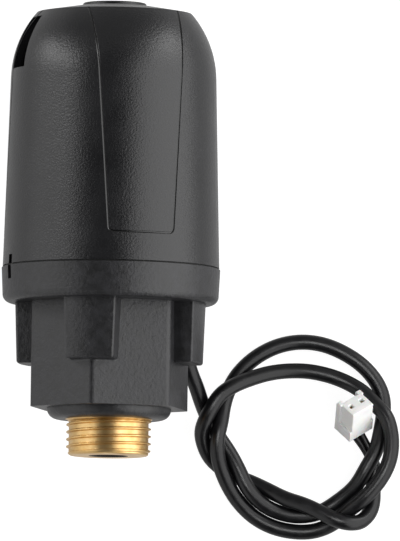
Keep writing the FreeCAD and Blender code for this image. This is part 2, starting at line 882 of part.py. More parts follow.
def make_clamp_screws():
    """Four pan-head screws in the lugs. The two on the frame's feet stand a sheet's gauge higher."""
    screws = []
    foot = floor_top - dim("screw_depth")
    for number in range(4):
        angle = math.radians(90 * number)
        lift = dim("frame_gauge") if number % 2 == 0 else zero
        seat = plate_top + lift
        east = dim("screw_circle_radius") * math.cos(angle)
        north = dim("screw_circle_radius") * math.sin(angle)
        shank = cylinder(
            f"clamp_shank_{number}", dim("screw_shank_radius"), seat - foot, (east, north, foot))
        head = cylinder(
            f"clamp_head_{number}", dim("screw_head_radius"), dim("screw_head_height"), (east, north, seat))
        screws.append(boolean("Fuse", f"clamp_screw_{number}", shank, head))
    keep("clamp_screws", joined("clamp_screws", screws, "Part::Compound"))


def make_piston():
    body = new_body("piston")
    profile = body_sketch(body, "piston_profile")
    post_top = piston_base + dim("piston_post_height")
    outline(profile, [
        (zero, piston_base),
        (dim("piston_radius"), piston_base),
        (dim("piston_radius"), piston_top),
        (dim("piston_pocket_radius"), piston_top),
        (dim("piston_pocket_radius"), spring_base),
        (dim("piston_post_radius"), spring_base),
        (dim("piston_post_radius"), post_top),
        (zero, post_top),
    ])
    revolve(body, profile)
    keep("piston", body)


def make_actuator_arm():
    body = new_body("actuator_arm")
    ring = body_sketch(body, "arm_ring", "XY_Plane", piston_top)
    circle(ring, zero, zero, dim("piston_radius"))
    circle(ring, zero, zero, dim("arm_ring_radius"))
    pad(body, ring, dim("arm_thickness"))
    tongue = body_sketch(body, "arm_tongue", "XY_Plane", piston_top)
    half = dim("arm_width") / 2
    ring_middle = (dim("arm_ring_radius") + dim("piston_radius")) / 2
    rectangle(tongue, ring_middle, dim("arm_reach"), -half, half)
    pad(body, tongue, dim("arm_thickness"))
    round_edges(
        body, lambda edge: is_upright(edge) and near(middle(edge).x, dim("arm_reach")), half / 2)
    keep("actuator_arm", body)


# Range spring, its nut and the screw that sets it
def make_range_spring():
    helix = doc.addObject("Part::Helix", "spring_path")
    travel = dim("spring_length") - dim("spring_wire_radius") * 2
    helix.setExpression("Radius", dim("spring_radius").text)
    helix.setExpression("Height", travel.text)
    helix.setExpression("Pitch", (travel / dim("spring_turns")).text)
    start = spring_base + dim("spring_wire_radius")
    helix.Placement = Placement(Vector(0, 0, start.value), Rotation())
    section = doc.addObject("Part::Circle", "spring_wire")
    section.setExpression("Radius", dim("spring_wire_radius").text)
    section.Placement = Placement(
        Vector(dim("spring_radius").value, 0, start.value), Rotation(Vector(1, 0, 0), 90))
    doc.recompute()
    spring = doc.addObject("Part::Sweep", "range_spring")
    spring.Sections = [section]
    spring.Spine = (helix, [f"Edge{index + 1}" for index in range(len(helix.Shape.Edges))])
    spring.Solid = True
    spring.Frenet = True
    doc.recompute()
    keep("range_spring", spring)


def make_spring_nut():
    body = new_body("spring_nut")
    profile = body_sketch(body, "nut_profile")
    bore = dim("adjuster_radius") + dim("running_gap")
    seat_radius = dim("nut_seat_radius")
    hub_radius = dim("nut_hub_radius")
    spigot_base = nut_base - dim("nut_spigot")
    seat_top = nut_base + dim("nut_seat_height")
    hub_top = seat_top + dim("nut_hub_height")
    outline(profile, [
        (bore, spigot_base),
        (dim("piston_post_radius"), spigot_base),
        (dim("piston_post_radius"), nut_base),
        (seat_radius, nut_base),
        (seat_radius, seat_top),
        (hub_radius, seat_top),
        (hub_radius, hub_top),
        (bore, hub_top),
    ])
    revolve(body, profile)
    for side in (-1, 1):
        key = body_sketch(body, f"nut_key_{side + 1}", "XY_Plane", nut_base)
        half = dim("key_width") / 2
        ends = sorted([hub_radius * side, dim("key_reach") * side], key=lambda end: end.value)
        rectangle(key, ends[0], ends[1], -half, half)
        pad(body, key, dim("nut_seat_height"))
    keep("spring_nut", body)


def make_adjusting_screw():
    body = new_body("adjusting_screw")
    profile = body_sketch(body, "adjuster_profile")
    shank = dim("adjuster_radius")
    groove = dim("clip_groove_radius")
    chamfer = dim("adjuster_chamfer")
    collar_upper = frame_top - dim("frame_gauge") - dim("adjuster_end_play")
    collar_lower = collar_upper - dim("adjuster_collar_height")
    groove_top = groove_base + dim("clip_groove_width")
    top = frame_top + dim("adjuster_above_frame")
    bottom = top - dim("adjuster_length")
    outline(profile, [
        (zero, bottom),
        (shank - chamfer, bottom),
        (shank, bottom + chamfer),
        (shank, collar_lower),
        (dim("adjuster_collar_radius"), collar_lower),
        (dim("adjuster_collar_radius"), collar_upper),
        (shank, collar_upper),
        (shank, groove_base),
        (groove, groove_base),
        (groove, groove_top),
        (shank, groove_top),
        (shank, top - chamfer),
        (shank - chamfer, top),
        (zero, top),
    ])
    revolve(body, profile)
    slot = body_sketch(body, "adjuster_slot", "XY_Plane", top)
    half = dim("adjuster_slot") / 2
    rectangle(slot, -shank - overshoot, shank + overshoot, -half, half)
    pocket(body, slot, dim("adjuster_slot_depth"))
    keep("adjusting_screw", body)


def make_screw_clip():
    body = new_body("screw_clip")
    clip_base = groove_base + dim("running_gap")
    ring = body_sketch(body, "clip_ring", "XY_Plane", clip_base)
    circle(ring, zero, zero, dim("adjuster_collar_radius"))
    circle(ring, zero, zero, dim("clip_groove_radius") + dim("running_gap"))
    pad(body, ring, dim("clip_thickness"))
    mouth = body_sketch(body, "clip_mouth", "XY_Plane", clip_base + dim("clip_thickness"))
    half = dim("clip_mouth") / 2
    rectangle(mouth, zero, dim("adjuster_collar_radius") + overshoot, -half, half)
    pocket(body, mouth, dim("clip_thickness"))
    keep("screw_clip", body)


# Frame: one strip bent into a bridge with two feet, with keyways for the nut and a window for the arm
def make_mechanism_frame():
    body = new_body("mechanism_frame")
    strip = body_sketch(body, "frame_strip")
    gauge = dim("frame_gauge")
    foot = dim("frame_foot_reach")
    foot_top = plate_top + gauge
    outline(strip, [
        (leg_inside, plate_top), (foot, plate_top), (foot, foot_top), (leg_outside, foot_top),
        (leg_outside, frame_top), (-leg_outside, frame_top), (-leg_outside, foot_top), (-foot, foot_top),
        (-foot, plate_top), (-leg_inside, plate_top), (-leg_inside, frame_top - gauge),
        (leg_inside, frame_top - gauge),
    ])
    pad(body, strip, dim("frame_width"), midplane=True)

    def bend_edge(across, height):
        return lambda edge: near(abs(middle(edge).x), across) and near(middle(edge).z, height) \
            and abs(edge.tangentAt(edge.FirstParameter).y) > 0.99

    round_edges(body, bend_edge(leg_outside, frame_top), dim("frame_bend") + gauge)
    round_edges(body, bend_edge(leg_inside, frame_top - gauge), dim("frame_bend"))
    round_edges(body, bend_edge(leg_outside, foot_top), dim("frame_bend"))
    round_edges(body, bend_edge(leg_inside, plate_top), dim("frame_bend") + gauge)
    round_edges(
        body, lambda edge: is_upright(edge) and near(abs(middle(edge).x), foot), dim("frame_foot_corner"))

    keyway = body_sketch(body, "keyway", "YZ_Plane")
    half = dim("key_width") / 2 + dim("keyway_gap")
    keyway_base = nut_base - dim("keyway_below_nut")
    keyway_top = nut_base + dim("keyway_above_nut")
    rectangle(keyway, -half, half, keyway_base, keyway_top)
    pocket(body, keyway, (leg_outside + overshoot) * 2, midplane=True)
    through_leg = gauge + overshoot * 2
    window = body_sketch(body, "arm_window", "YZ_Plane", leg_inside - overshoot)
    half = dim("arm_width") / 2 + dim("arm_window_margin")
    travel = dim("arm_window_travel")
    rectangle(window, -half, half, piston_top - travel, arm_top + travel)
    pocket(body, window, through_leg, reverse=True)
    for side in (-1, 1):
        hole = body_sketch(body, f"switch_hole_{side + 1}", "YZ_Plane", leg_inside - overshoot)
        circle(hole, dim("switch_hole_spacing") / 2 * side, switch_holes, dim("switch_shank_radius"))
        pocket(body, hole, through_leg, reverse=True)
    for side in (-1, 1):
        hole = body_sketch(body, f"foot_hole_{side + 1}", "XY_Plane", foot_top)
        circle(hole, dim("screw_circle_radius") * side, zero, dim("screw_clearance_radius"))
        pocket(body, hole, gauge)
    bridge = body_sketch(body, "bridge_hole", "XY_Plane", frame_top)
    circle(bridge, zero, zero, dim("adjuster_radius") + dim("running_gap") * 2)
    pocket(body, bridge, gauge)
    keep("mechanism_frame", body)


# Snap switch on the frame's right leg
def make_microswitch():
    half = dim("switch_length") / 2
    middle_x = leg_outside + (dim("switch_depth") - dim("switch_cover")) / 2
    for label, inner, outer in (("microswitch_case", leg_outside, case_outside),
                                ("microswitch_cover", case_outside, switch_outside)):
        body = new_body(label)
        side = body_sketch(body, label + "_side", "YZ_Plane", inner)
        rectangle(side, -half, half, switch_base, switch_top)
        pad(body, side, outer - inner)
        round_edges(
            body, lambda edge: abs(edge.tangentAt(edge.FirstParameter).x) > 0.99, dim("switch_corner"))
        for place in (-1, 1):
            hole = body_sketch(body, f"{label}_hole_{place + 1}", "YZ_Plane", inner)
            circle(hole, dim("switch_hole_spacing") / 2 * place, switch_holes, dim("switch_hole_radius"))
            pocket(body, hole, outer - inner, reverse=True)
        if label == "microswitch_case":
            guide = body_sketch(body, "button_guide", "XY_Plane", switch_base)
            circle(guide, middle_x, -dim("button_offset"), dim("button_radius") + dim("running_gap"))
            pocket(body, guide, dim("button_guide_depth"), reverse=True)
        keep(label, body)

    button = new_body("microswitch_button")
    profile = body_sketch(button, "button_profile")
    radius = dim("button_radius")
    bend = dim("button_round")
    tip = switch_base - dim("button_reach")
    back = switch_base + dim("button_depth")
    outline(profile, [
        (zero, tip), (radius - bend, tip, bend), (radius, tip + bend), (radius, back), (zero, back),
    ])
    revolve(button, profile)
    offset = Placement(Vector(middle_x.value, -dim("button_offset").value, 0), Rotation())
    keep("microswitch_button", button, lying.multiply(offset))

    blades = []
    half_gauge = dim("blade_gauge") / 2
    half_blade = dim("blade_width") / 2
    for number in (-1, 0, 1):
        centre = dim("blade_spacing") * number
        blades.append(block(
            f"blade_{number + 1}",
            (middle_x - half_gauge, centre - half_blade, switch_top),
            (middle_x + half_gauge, centre + half_blade, switch_top + dim("blade_length"))))
    keep("microswitch_terminals", joined("microswitch_terminals", blades, "Part::Compound"))

    screws = []
    across = Vector(1, 0, 0)
    for place in (-1, 1):
        spot = dim("switch_hole_spacing") / 2 * place
        shank_base = leg_inside - dim("switch_shank_spare")
        shank = cylinder(
            f"switch_shank_{place + 1}", dim("switch_shank_radius"), switch_outside - shank_base,
            (shank_base, spot, switch_holes), across)
        head = cylinder(
            f"switch_head_{place + 1}", dim("switch_screw_radius"), dim("switch_screw_height"),
            (switch_outside, spot, switch_holes), across)
        screws.append(boolean("Fuse", f"switch_screw_{place + 1}", shank, head))
    keep("microswitch_screws", joined("microswitch_screws", screws, "Part::Compound"))
    return middle_x


# Lead: bush, jacket end and tie inside the base, cores to the snap switch, and the cord outside
bend_share = 0.45
volume_slack = 0.02


def route_edges(points, label):
    """Straight runs joined by tangent arcs, each as large as its two runs allow."""
    corners = []
    for before, here, after in zip(points, points[1:], points[2:]):
        inward = (before - here).normalize()
        outward = (after - here).normalize()
        turn = math.pi - inward.getAngle(outward)
        tangent = bend_share * min((before - here).Length, (after - here).Length)
        radius = tangent / math.tan(turn / 2)
        bisector = (inward + outward).normalize()
        centre = here + bisector * (radius / math.cos(turn / 2))
        bulge = centre - bisector * radius
        corners.append((here + inward * tangent, bulge, here + outward * tangent))
        print(f"{label}: bend radius {radius:.1f} mm, turn {math.degrees(turn):.0f} degrees")
    edges = []
    here = points[0]
    for start, bulge, stop in corners:
        edges.append(Part.LineSegment(here, start).toShape())
        edges.append(Part.Arc(start, bulge, stop).toShape())
        here = stop
    edges.append(Part.LineSegment(here, points[-1]).toShape())
    return edges


def tube(points, radius, label):
    """A round section carried along a route, with its volume compared with section times length."""
    path = Part.Wire(route_edges(points, label))
    start = (points[1] - points[0]).normalize()
    section = Part.Wire(Part.Circle(points[0], start, radius).toShape())
    solid = path.makePipeShell([section], True, False)
    expected = math.pi * radius ** 2 * path.Length
    print(f"{label}: length {path.Length:.1f} mm, volume {solid.Volume:.1f} of {expected:.1f} mm3")
    if abs(solid.Volume - expected) > volume_slack * expected:
        raise RuntimeError(label + " has the wrong volume")
    return solid


def keep_shape(label, shape, place):
    feature = doc.addObject("Part::Feature", label)
    feature.Shape = shape
    return keep(label, feature, place)


cable_end = plate_top + dim("cable_end_height")
nose_base = collar_base - dim("grommet_nose")


def make_cable_entry():
    grommet = new_body("cable_grommet")
    profile = body_sketch(grommet, "grommet_profile")
    bore = dim("cable_radius")
    outside = dim("grommet_radius")
    flange_top = floor_top + dim("grommet_flange_height")
    outline(profile, [
        (bore, nose_base),
        (dim("grommet_nose_radius"), nose_base),
        (outside, collar_base),
        (outside, floor_top),
        (dim("grommet_flange_radius"), floor_top),
        (dim("grommet_flange_radius"), flange_top),
        (bore, flange_top),
    ])
    revolve(grommet, profile)
    keep("cable_grommet", grommet, cable_axis)

    jacket = new_body("inner_cable")
    section = body_sketch(jacket, "jacket_section", "XY_Plane", nose_base)
    circle(section, zero, zero, dim("cable_radius"))
    pad(jacket, section, cable_end - nose_base)
    keep("inner_cable", jacket, cable_axis)

    tie = new_body("cable_tie")
    tie_base = plate_top + dim("tie_lift")
    band = body_sketch(tie, "tie_band", "XY_Plane", tie_base)
    circle(band, zero, zero, dim("tie_radius"))
    circle(band, zero, zero, dim("cable_radius"))
    pad(tie, band, dim("tie_height"))
    lock = body_sketch(tie, "tie_lock", "XY_Plane", tie_base)
    half = dim("tie_lock_width") / 2
    rectangle(lock, -dim("tie_lock_far"), -dim("tie_lock_near"), -half, half)
    pad(tie, lock, dim("tie_height"))
    inward = Rotation(Vector(0, 0, 1), dim("cable_angle").value)
    keep("cable_tie", tie, cable_axis.multiply(Placement(Vector(), inward)))


def make_lead_wires(blade_x):
    """Two cores that rise from the jacket's end and come down on two of the blades."""
    blade_tip = switch_top + dim("blade_length")
    core = dim("core_radius").value
    spread = Vector(-1, 1, 0).normalize() * dim("core_spread").value
    jacket = Vector(cable_x.value, cable_y.value, cable_end.value)
    wires = []
    for number, side, rise in ((1, 1, dim("near_core_rise")), (0, -1, dim("far_core_rise"))):
        start = jacket + spread * side
        tip = Vector(blade_x.value, dim("blade_spacing").value * number, blade_tip.value)
        top = (blade_tip + rise).value
        above_jacket = Vector(start.x, start.y, top)
        above_blade = Vector(tip.x, tip.y, top)
        wires.append(tube([start, above_jacket, above_blade, tip], core, f"lead wire {number}"))
    keep_shape("lead_wires", Part.makeCompound(wires), lying)


# Lying cord: heading and dip of each run from the bush to the coil, degrees, and the run's length
lead_runs = [
    (4.6, 0.0, 0.0),
    (4.8, 9.0, 12.0),
    (5.0, 18.0, 22.0),
    (4.0, 25.0, 38.0),
    (4.0, 19.0, 29.0),
]


def make_cord():
    here = cable_axis.multVec(Vector(0, 0, nose_base.value))
    route = [here]
    for run, heading, dip in lead_runs:
        heading = math.radians(heading)
        dip = math.radians(dip)
        step = Vector(
            math.sin(heading) * math.cos(dip), -math.cos(heading) * math.cos(dip), -math.sin(dip))
        here = here + step * run
        route.append(here)
    for point in route:
        print("cord route point", [round(value, 2) for value in point])
    keep_shape("cord_lead", tube(route, dim("cable_radius").value, "cord lead"), Placement())

    ring = new_body("cord_ring")
    profile = body_sketch(ring, "coil_profile")
    bend = dim("coil_round")
    inner = dim("coil_inner_radius")
    outer = dim("coil_outer_radius")
    height = dim("coil_height")
    outline(profile, [
        (inner + bend, zero),
        (outer - bend, zero, bend), (outer, bend),
        (outer, height - bend, bend), (outer - bend, height),
        (inner + bend, height, bend), (inner, height - bend),
        (inner, bend, bend),
    ])
    revolve(ring, profile)
    centre = Vector(dim("coil_centre_x").value, dim("coil_centre_y").value, 0)
    ring.Placement = Placement(centre, Rotation())
    room = dim("nest_room")
    half_width = dim("housing_width") / 2 + room
    half_depth = dim("housing_depth") / 2 + room
    nest = block(
        "plug_nest", (-half_width, -half_depth, -room),
        (half_width, half_depth, dim("housing_length") + room))
    nest.Placement = housing_place.multiply(nest.Placement)
    keep("cord_coil", boolean("Cut", "cord_coil", ring, nest), Placement())


# White two-way plug at the cord's end, lying on the coil with its mating face raised
turned_up = Rotation(Vector(0, 0, 1), dim("housing_heading").value)
turned_up = turned_up.multiply(Rotation(Vector(1, 0, 0), -dim("housing_lean").value))
turned_up = turned_up.multiply(Rotation(Vector(0, 0, 1), dim("housing_roll").value))
housing_place = Placement(
    Vector(dim("housing_x").value, dim("housing_y").value, dim("housing_lift").value), turned_up)


def make_plug():
    half_width = dim("housing_width") / 2
    half_depth = dim("housing_depth") / 2
    length = dim("housing_length")
    half_pitch = dim("housing_pitch") / 2

    housing = new_body("plug_housing")
    foot = body_sketch(housing, "housing_foot", "XY_Plane")
    rectangle(foot, -half_width, half_width, -half_depth, half_depth)
    pad(housing, foot, length)
    # The mating half is narrower, with a rib down each edge of one wide side
    for side in (-1, 1):
        shoulder = body_sketch(housing, f"housing_shoulder_{side + 1}", "XY_Plane", length)
        step_in = half_width - dim("housing_step")
        edges = sorted([half_width * side, step_in * side], key=lambda edge: edge.value)
        rectangle(shoulder, edges[0], edges[1], -half_depth, half_depth - dim("housing_rib_depth"))
        pocket(housing, shoulder, length - dim("housing_skirt_height"))
    relief = body_sketch(housing, "housing_relief", "XY_Plane", length)
    half_relief = half_width - dim("housing_rib_width")
    rectangle(
        relief, -half_relief, half_relief, half_depth - dim("housing_relief_depth"), half_depth + overshoot)
    pocket(housing, relief, length - dim("housing_skirt_height"))
    # Each cavity takes a contact from the wire end, behind a small square mouth in the mating face
    lip = dim("socket_lip")
    half_socket = dim("socket_width") / 2
    half_mouth = dim("socket_mouth") / 2
    middle_level = (dim("socket_low") + dim("socket_high")) / 2
    half_latch = dim("latch_width") / 2
    for side in (-1, 1):
        centre = half_pitch * side
        socket = body_sketch(housing, f"housing_socket_{side + 1}", "XY_Plane", length - lip)
        rectangle(
            socket, centre - half_socket, centre + half_socket, dim("socket_low"), dim("socket_high"))
        pocket(housing, socket, length - lip)
        mouth = body_sketch(housing, f"housing_mouth_{side + 1}", "XY_Plane", length)
        rectangle(
            mouth, centre - half_mouth, centre + half_mouth,
            middle_level - half_mouth, middle_level + half_mouth)
        pocket(housing, mouth, lip * 2)
        latch = body_sketch(housing, f"housing_latch_{side + 1}", "XZ_Plane", -half_depth)
        rectangle(latch, centre - half_latch, centre + half_latch, dim("latch_base"), dim("latch_top"))
        pocket(housing, latch, dim("latch_depth"), reverse=True)
    keep("plug_housing", housing, housing_place)

    contacts = []
    half_contact = dim("contact_width") / 2
    gap = dim("contact_gap")
    for side in (-1, 1):
        centre = half_pitch * side
        contacts.append(block(
            f"contact_{side + 1}",
            (centre - half_contact, dim("socket_low") + gap, dim("contact_base")),
            (centre + half_contact, dim("socket_high") - gap, length - dim("contact_setback"))))
    keep("plug_terminals", joined("plug_terminals", contacts, "Part::Compound"), housing_place)

    wires = []
    core = dim("core_radius").value
    level = (dim("socket_low").value + dim("socket_high").value) / 2
    tail = Vector(*[dim("plug_core_tail_" + axis).value for axis in "xyz"])
    for side in (-1, 1):
        inside = housing_place.multVec(Vector(half_pitch.value * side, level, dim("contact_base").value))
        mouth = housing_place.multVec(Vector(
            dim("plug_core_mouth").value * side, level, -dim("plug_core_mouth_drop").value))
        bend = housing_place.multVec(Vector(
            dim("plug_core_bend").value * side, dim("plug_core_bend_lift").value,
            -dim("plug_core_bend_drop").value))
        bend.z = max(bend.z, dim("plug_core_lowest").value)
        wires.append(tube([inside, mouth, bend, bend + tail], core, f"plug wire {side + 1}"))
    keep_shape("plug_wires", Part.makeCompound(wires), Placement())


make_inlet_fitting()
make_base_housing()
make_cap()
make_cap_gasket()
make_crown_plug()
make_diaphragm()
make_clamp_plate()
make_clamp_screws()
make_piston()
make_actuator_arm()
make_range_spring()
make_spring_nut()
make_adjusting_screw()
make_screw_clip()
make_mechanism_frame()
blade_x = make_microswitch()
make_cable_entry()
make_lead_wires(blade_x)
make_cord()
make_plug()
doc.recompute()

for item in doc.Objects:
    if "Invalid" in item.State or "Error" in item.State:
        raise RuntimeError(f"{item.Name} failed: {item.State}")
for item in subparts:
    if item.Shape.isNull() or not item.Shape.isValid():
        raise RuntimeError(item.Label + " has no valid shape")

os.makedirs("parts", exist_ok=True)
for item in subparts:
    item.Shape.exportStep(f"parts/{item.Label}.step")
    print(f"{item.Label}: {len(item.Shape.Solids)} solids, {item.Shape.Volume:.0f} mm3")
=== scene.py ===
import json
import math

import bmesh
import bpy
import numpy as np
from mathutils import Matrix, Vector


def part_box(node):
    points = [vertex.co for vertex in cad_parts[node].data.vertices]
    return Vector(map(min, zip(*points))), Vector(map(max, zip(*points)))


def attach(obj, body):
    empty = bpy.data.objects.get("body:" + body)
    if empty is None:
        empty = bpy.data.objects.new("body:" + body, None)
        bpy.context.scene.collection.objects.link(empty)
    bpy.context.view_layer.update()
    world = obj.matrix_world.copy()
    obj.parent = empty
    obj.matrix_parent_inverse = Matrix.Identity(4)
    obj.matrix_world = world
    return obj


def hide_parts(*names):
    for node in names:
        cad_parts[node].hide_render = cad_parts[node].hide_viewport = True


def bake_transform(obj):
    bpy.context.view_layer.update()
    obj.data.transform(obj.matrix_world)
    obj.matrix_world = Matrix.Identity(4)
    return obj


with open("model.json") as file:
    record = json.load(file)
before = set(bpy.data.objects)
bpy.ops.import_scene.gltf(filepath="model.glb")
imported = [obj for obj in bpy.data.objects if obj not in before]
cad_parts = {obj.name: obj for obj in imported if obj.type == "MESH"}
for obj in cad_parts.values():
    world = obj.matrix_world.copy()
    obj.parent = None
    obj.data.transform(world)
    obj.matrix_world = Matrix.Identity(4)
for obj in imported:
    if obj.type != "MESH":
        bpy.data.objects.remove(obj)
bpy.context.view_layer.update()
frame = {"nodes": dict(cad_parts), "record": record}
nodes = frame["nodes"]
mm = 0.001
samePlace = 0.0005  # places nearer than this, in millimetres, are one

# the switch lies on its side: its axis is level and runs along +Y from the inlet to the crown
inletMount = next(m for m in frame["record"]["mounts"] if m["name"] == "inlet_thread")
axisHeight = inletMount["pos_m"][2]
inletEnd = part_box("inlet_fitting")[0].y
lugTurn = math.radians(13)  # how far the switch has rolled about its axis


# small tools

def linear(hexColour, alpha=1.0):
    # sRGB hex to linear light
    parts = [int(hexColour[i:i + 2], 16) / 255 for i in (1, 3, 5)]
    return tuple(c / 12.92 if c <= 0.04045 else ((c + 0.055) / 1.055) ** 2.4 for c in parts) + (alpha,)


def addNode(tree, kind, inputs=None, **settings):
    # one node: settings are its properties, inputs are numbers, colours or sockets to link
    node = tree.nodes.new(kind)
    for name, value in settings.items():
        setattr(node, name, value)
    for name, value in (inputs or {}).items():
        if isinstance(value, bpy.types.NodeSocket):
            tree.links.new(value, node.inputs[name])
        else:
            node.inputs[name].default_value = value
    return node


def perMetre(size):
    # texture scale that gives features of about this many millimetres
    return 1 / (size * mm)


def putOn(material, *names):
    for name in names:
        slots = nodes[name].data.materials
        slots.clear()
        slots.append(material)


def gridMesh(name, grids, material, crease=40):
    # quads between neighbours in each grid of places: rows along, columns around and whether these close;
    # places that fall together at a pole or seam are merged, and the faces are turned outwards
    places, quads, first = [], [], 0
    for points, closeAround in grids:
        rows, columns = points.shape[:2]
        index = first + np.arange(rows * columns).reshape(rows, columns)
        if closeAround:
            index = np.hstack([index, index[:, :1]])
        corners = [index[:-1, :-1], index[:-1, 1:], index[1:, 1:], index[1:, :-1]]
        quads.append(np.stack(corners, -1).reshape(-1, 4))
        places.append(points.reshape(-1, 3))
        first += rows * columns
    mesh = bpy.data.meshes.new(name)
    mesh.from_pydata(np.vstack(places).tolist(), [], np.vstack(quads).tolist())
    work = bmesh.new()
    work.from_mesh(mesh)
    bmesh.ops.remove_doubles(work, verts=work.verts, dist=samePlace * mm)
    bmesh.ops.recalc_face_normals(work, faces=work.faces)
    work.to_mesh(mesh)
    work.free()
    mesh.materials.append(material)
    mesh.polygons.foreach_set("use_smooth", np.ones(len(mesh.polygons), bool))
    mesh.set_sharp_from_angle(angle=math.radians(crease))
    mesh.update()
    piece = bpy.data.objects.new(name, mesh)
    bpy.context.scene.collection.objects.link(piece)
    return piece


def aroundAxis(radius, along, angle):
    # places on rings about the switch's axis: radius and distance from the inlet's end in millimetres,
    # angle from +X towards +Z
    radius, along, angle = np.broadcast_arrays(radius, along, angle)
    across = radius * mm * np.cos(angle)
    return np.stack([across, inletEnd + along * mm, axisHeight + radius * mm * np.sin(angle)], -1)


def asLying(points):
    # the switch's own upright x, y and height in millimetres, rolled and laid down
    x, y, height = points[..., 0], points[..., 1], points[..., 2]
    east = x * math.cos(lugTurn) + y * math.sin(lugTurn)
    north = y * math.cos(lugTurn) - x * math.sin(lugTurn)
    return np.stack([east * mm, inletEnd + height * mm, axisHeight - north * mm], -1)


def tubeAlong(path, radius, up, around=16):
    # a round section carried along a path, closed at both ends; up is a direction that the path never takes
    tangent = np.gradient(path, axis=0)
    side = np.cross(tangent, up)
    side /= np.linalg.norm(side, axis=1, keepdims=True)
    over = np.cross(side, tangent)
    over /= np.linalg.norm(over, axis=1, keepdims=True)
    angle = np.linspace(0, 2 * math.pi, around, endpoint=False)[None, :, None]
    ring = path[:, None] + radius * (np.cos(angle) * side[:, None] + np.sin(angle) * over[:, None])
    flat = np.ones((1, around, 1))
    return np.concatenate([path[:1, None] * flat, ring, path[-1:, None] * flat])


# materials

def bareMaterial(name):
    material = bpy.data.materials.new(name)
    material.use_nodes = True
    material.node_tree.nodes.clear()
    return material, material.node_tree


def finish(name, look):
    # clouds of the cloud size (mm) mix the two colours and vary the gloss;
    # grain of the grain size (mm) is the relief, and stretch draws it out along an axis, for tool marks
    material, tree = bareMaterial(name)
    surface = addNode(tree, "ShaderNodeBsdfPrincipled")
    addNode(tree, "ShaderNodeOutputMaterial", {"Surface": surface.outputs["BSDF"]})
    place = addNode(tree, "ShaderNodeTexCoord").outputs["Object"]
    drawn = addNode(tree, "ShaderNodeMapping", {"Vector": place, "Scale": look.get("stretch", (1, 1, 1))})
    cloud = addNode(tree, "ShaderNodeTexNoise", {
        "Vector": place, "Scale": perMetre(look["cloud"]), "Detail": look.get("cloudDetail", 3.0)})
    spread = addNode(tree, "ShaderNodeMapRange", {
        "Value": cloud.outputs["Fac"], "From Min": 0.3, "From Max": 0.7})  # noise seldom goes past these
    tint = addNode(tree, "ShaderNodeMix", {
        "Factor": spread.outputs["Result"], "A": linear(look["colour"]), "B": linear(look["pale"])},
        data_type="RGBA")
    grain = addNode(tree, "ShaderNodeTexNoise", {
        "Vector": drawn.outputs["Vector"], "Scale": perMetre(look["grain"]), "Detail": 2.0, "Roughness": 0.6})
    both = addNode(tree, "ShaderNodeMix", {
        "Factor": look.get("grainGloss", 0.3), "A": spread.outputs["Result"], "B": grain.outputs["Fac"]})
    gloss = addNode(tree, "ShaderNodeMapRange", {
        "Value": both.outputs["Result"], "To Min": look["roughness"][0], "To Max": look["roughness"][1]})
    bump = addNode(tree, "ShaderNodeBump", {
        "Strength": look.get("relief", 0.3), "Distance": look["depth"] * mm, "Height": grain.outputs["Fac"]})
    tree.links.new(tint.outputs["Result"], surface.inputs["Base Color"])
    tree.links.new(gloss.outputs["Result"], surface.inputs["Roughness"])
    tree.links.new(bump.outputs["Normal"], surface.inputs["Normal"])
    for socket, value in look.get("sockets", {}).items():
        surface.inputs[socket].default_value = value
    return material


# ABS, moulded in a spark-eroded tool: deep black and satin, with an even grain that sparkles in the light,
# drawn coarser than the real one so that it shows
blackAbs = finish("absBlackMoulded", {
    "colour": "#101012", "pale": "#161618", "cloud": 9.0, "roughness": (0.24, 0.4), "grain": 0.48, "depth": 0.1,
    "relief": 0.8, "grainGloss": 0.6, "sockets": {"IOR": 1.53}})
# ABS in the panel grooves, where the tool is polished: glossier than the grained skin, and its colour painted
# blacker as shade in the grooves
grooveAbsPaintedShade = finish("absPolishedPaintedShade", {
    "colour": "#050506", "pale": "#09090a", "cloud": 6.0, "roughness": (0.16, 0.26), "grain": 0.5,
    "depth": 0.01, "sockets": {"IOR": 1.53}})
# glass-filled nylon, moulded: black with grey clouds where the fibres float up, duller than the cap;
# its grain is drawn coarser than the real one so that it shows
filledNylon = finish("glassNylonBlackMoulded", {
    "colour": "#131314", "pale": "#242427", "cloud": 2.4, "cloudDetail": 6.0, "roughness": (0.36, 0.48),
    "grain": 0.9, "depth": 0.16, "relief": 0.7, "grainGloss": 0.5, "sockets": {"IOR": 1.53}})
# free-cutting brass, turned: warm yellow metal with rings left by the tool, drawn coarse so that they show
brass = finish("brassTurned", {
    "colour": "#e6c48b", "pale": "#cda769", "cloud": 2.5, "roughness": (0.28, 0.42), "grain": 0.25,
    "depth": 0.01, "grainGloss": 0.7, "stretch": (0.02, 1.0, 0.02), "sockets": {"Metallic": 1.0}})
# the bore's wall: painted nearly black as shade deep in the bore, dull and rough
borePaintedShade = finish("brassBorePaintedShade", {
    "colour": "#0c0a08", "pale": "#1c1712", "cloud": 0.8, "roughness": (0.6, 0.85), "grain": 0.3,
    "depth": 0.05})
# brass strip, stamped and lightly tarnished: flat yellow metal with rolling lines
brassStrip = finish("brassStripStamped", {
    "colour": "#e4c07c", "pale": "#c79b55", "cloud": 1.2, "roughness": (0.25, 0.4), "grain": 0.2, "depth": 0.01,
    "stretch": (1.0, 0.06, 1.0), "sockets": {"Metallic": 1.0}})
# soft PVC, extruded: black with a narrow silky highlight along the cord, faint scuffs and dust;
# softer and duller than hard PVC, so its IOR is a little low
jacket = finish("pvcBlackExtruded", {
    "colour": "#050506", "pale": "#0b0b0d", "cloud": 2.2, "cloudDetail": 5.0, "roughness": (0.26, 0.42),
    "grain": 0.5, "depth": 0.03, "relief": 0.2, "sockets": {"IOR": 1.4}})
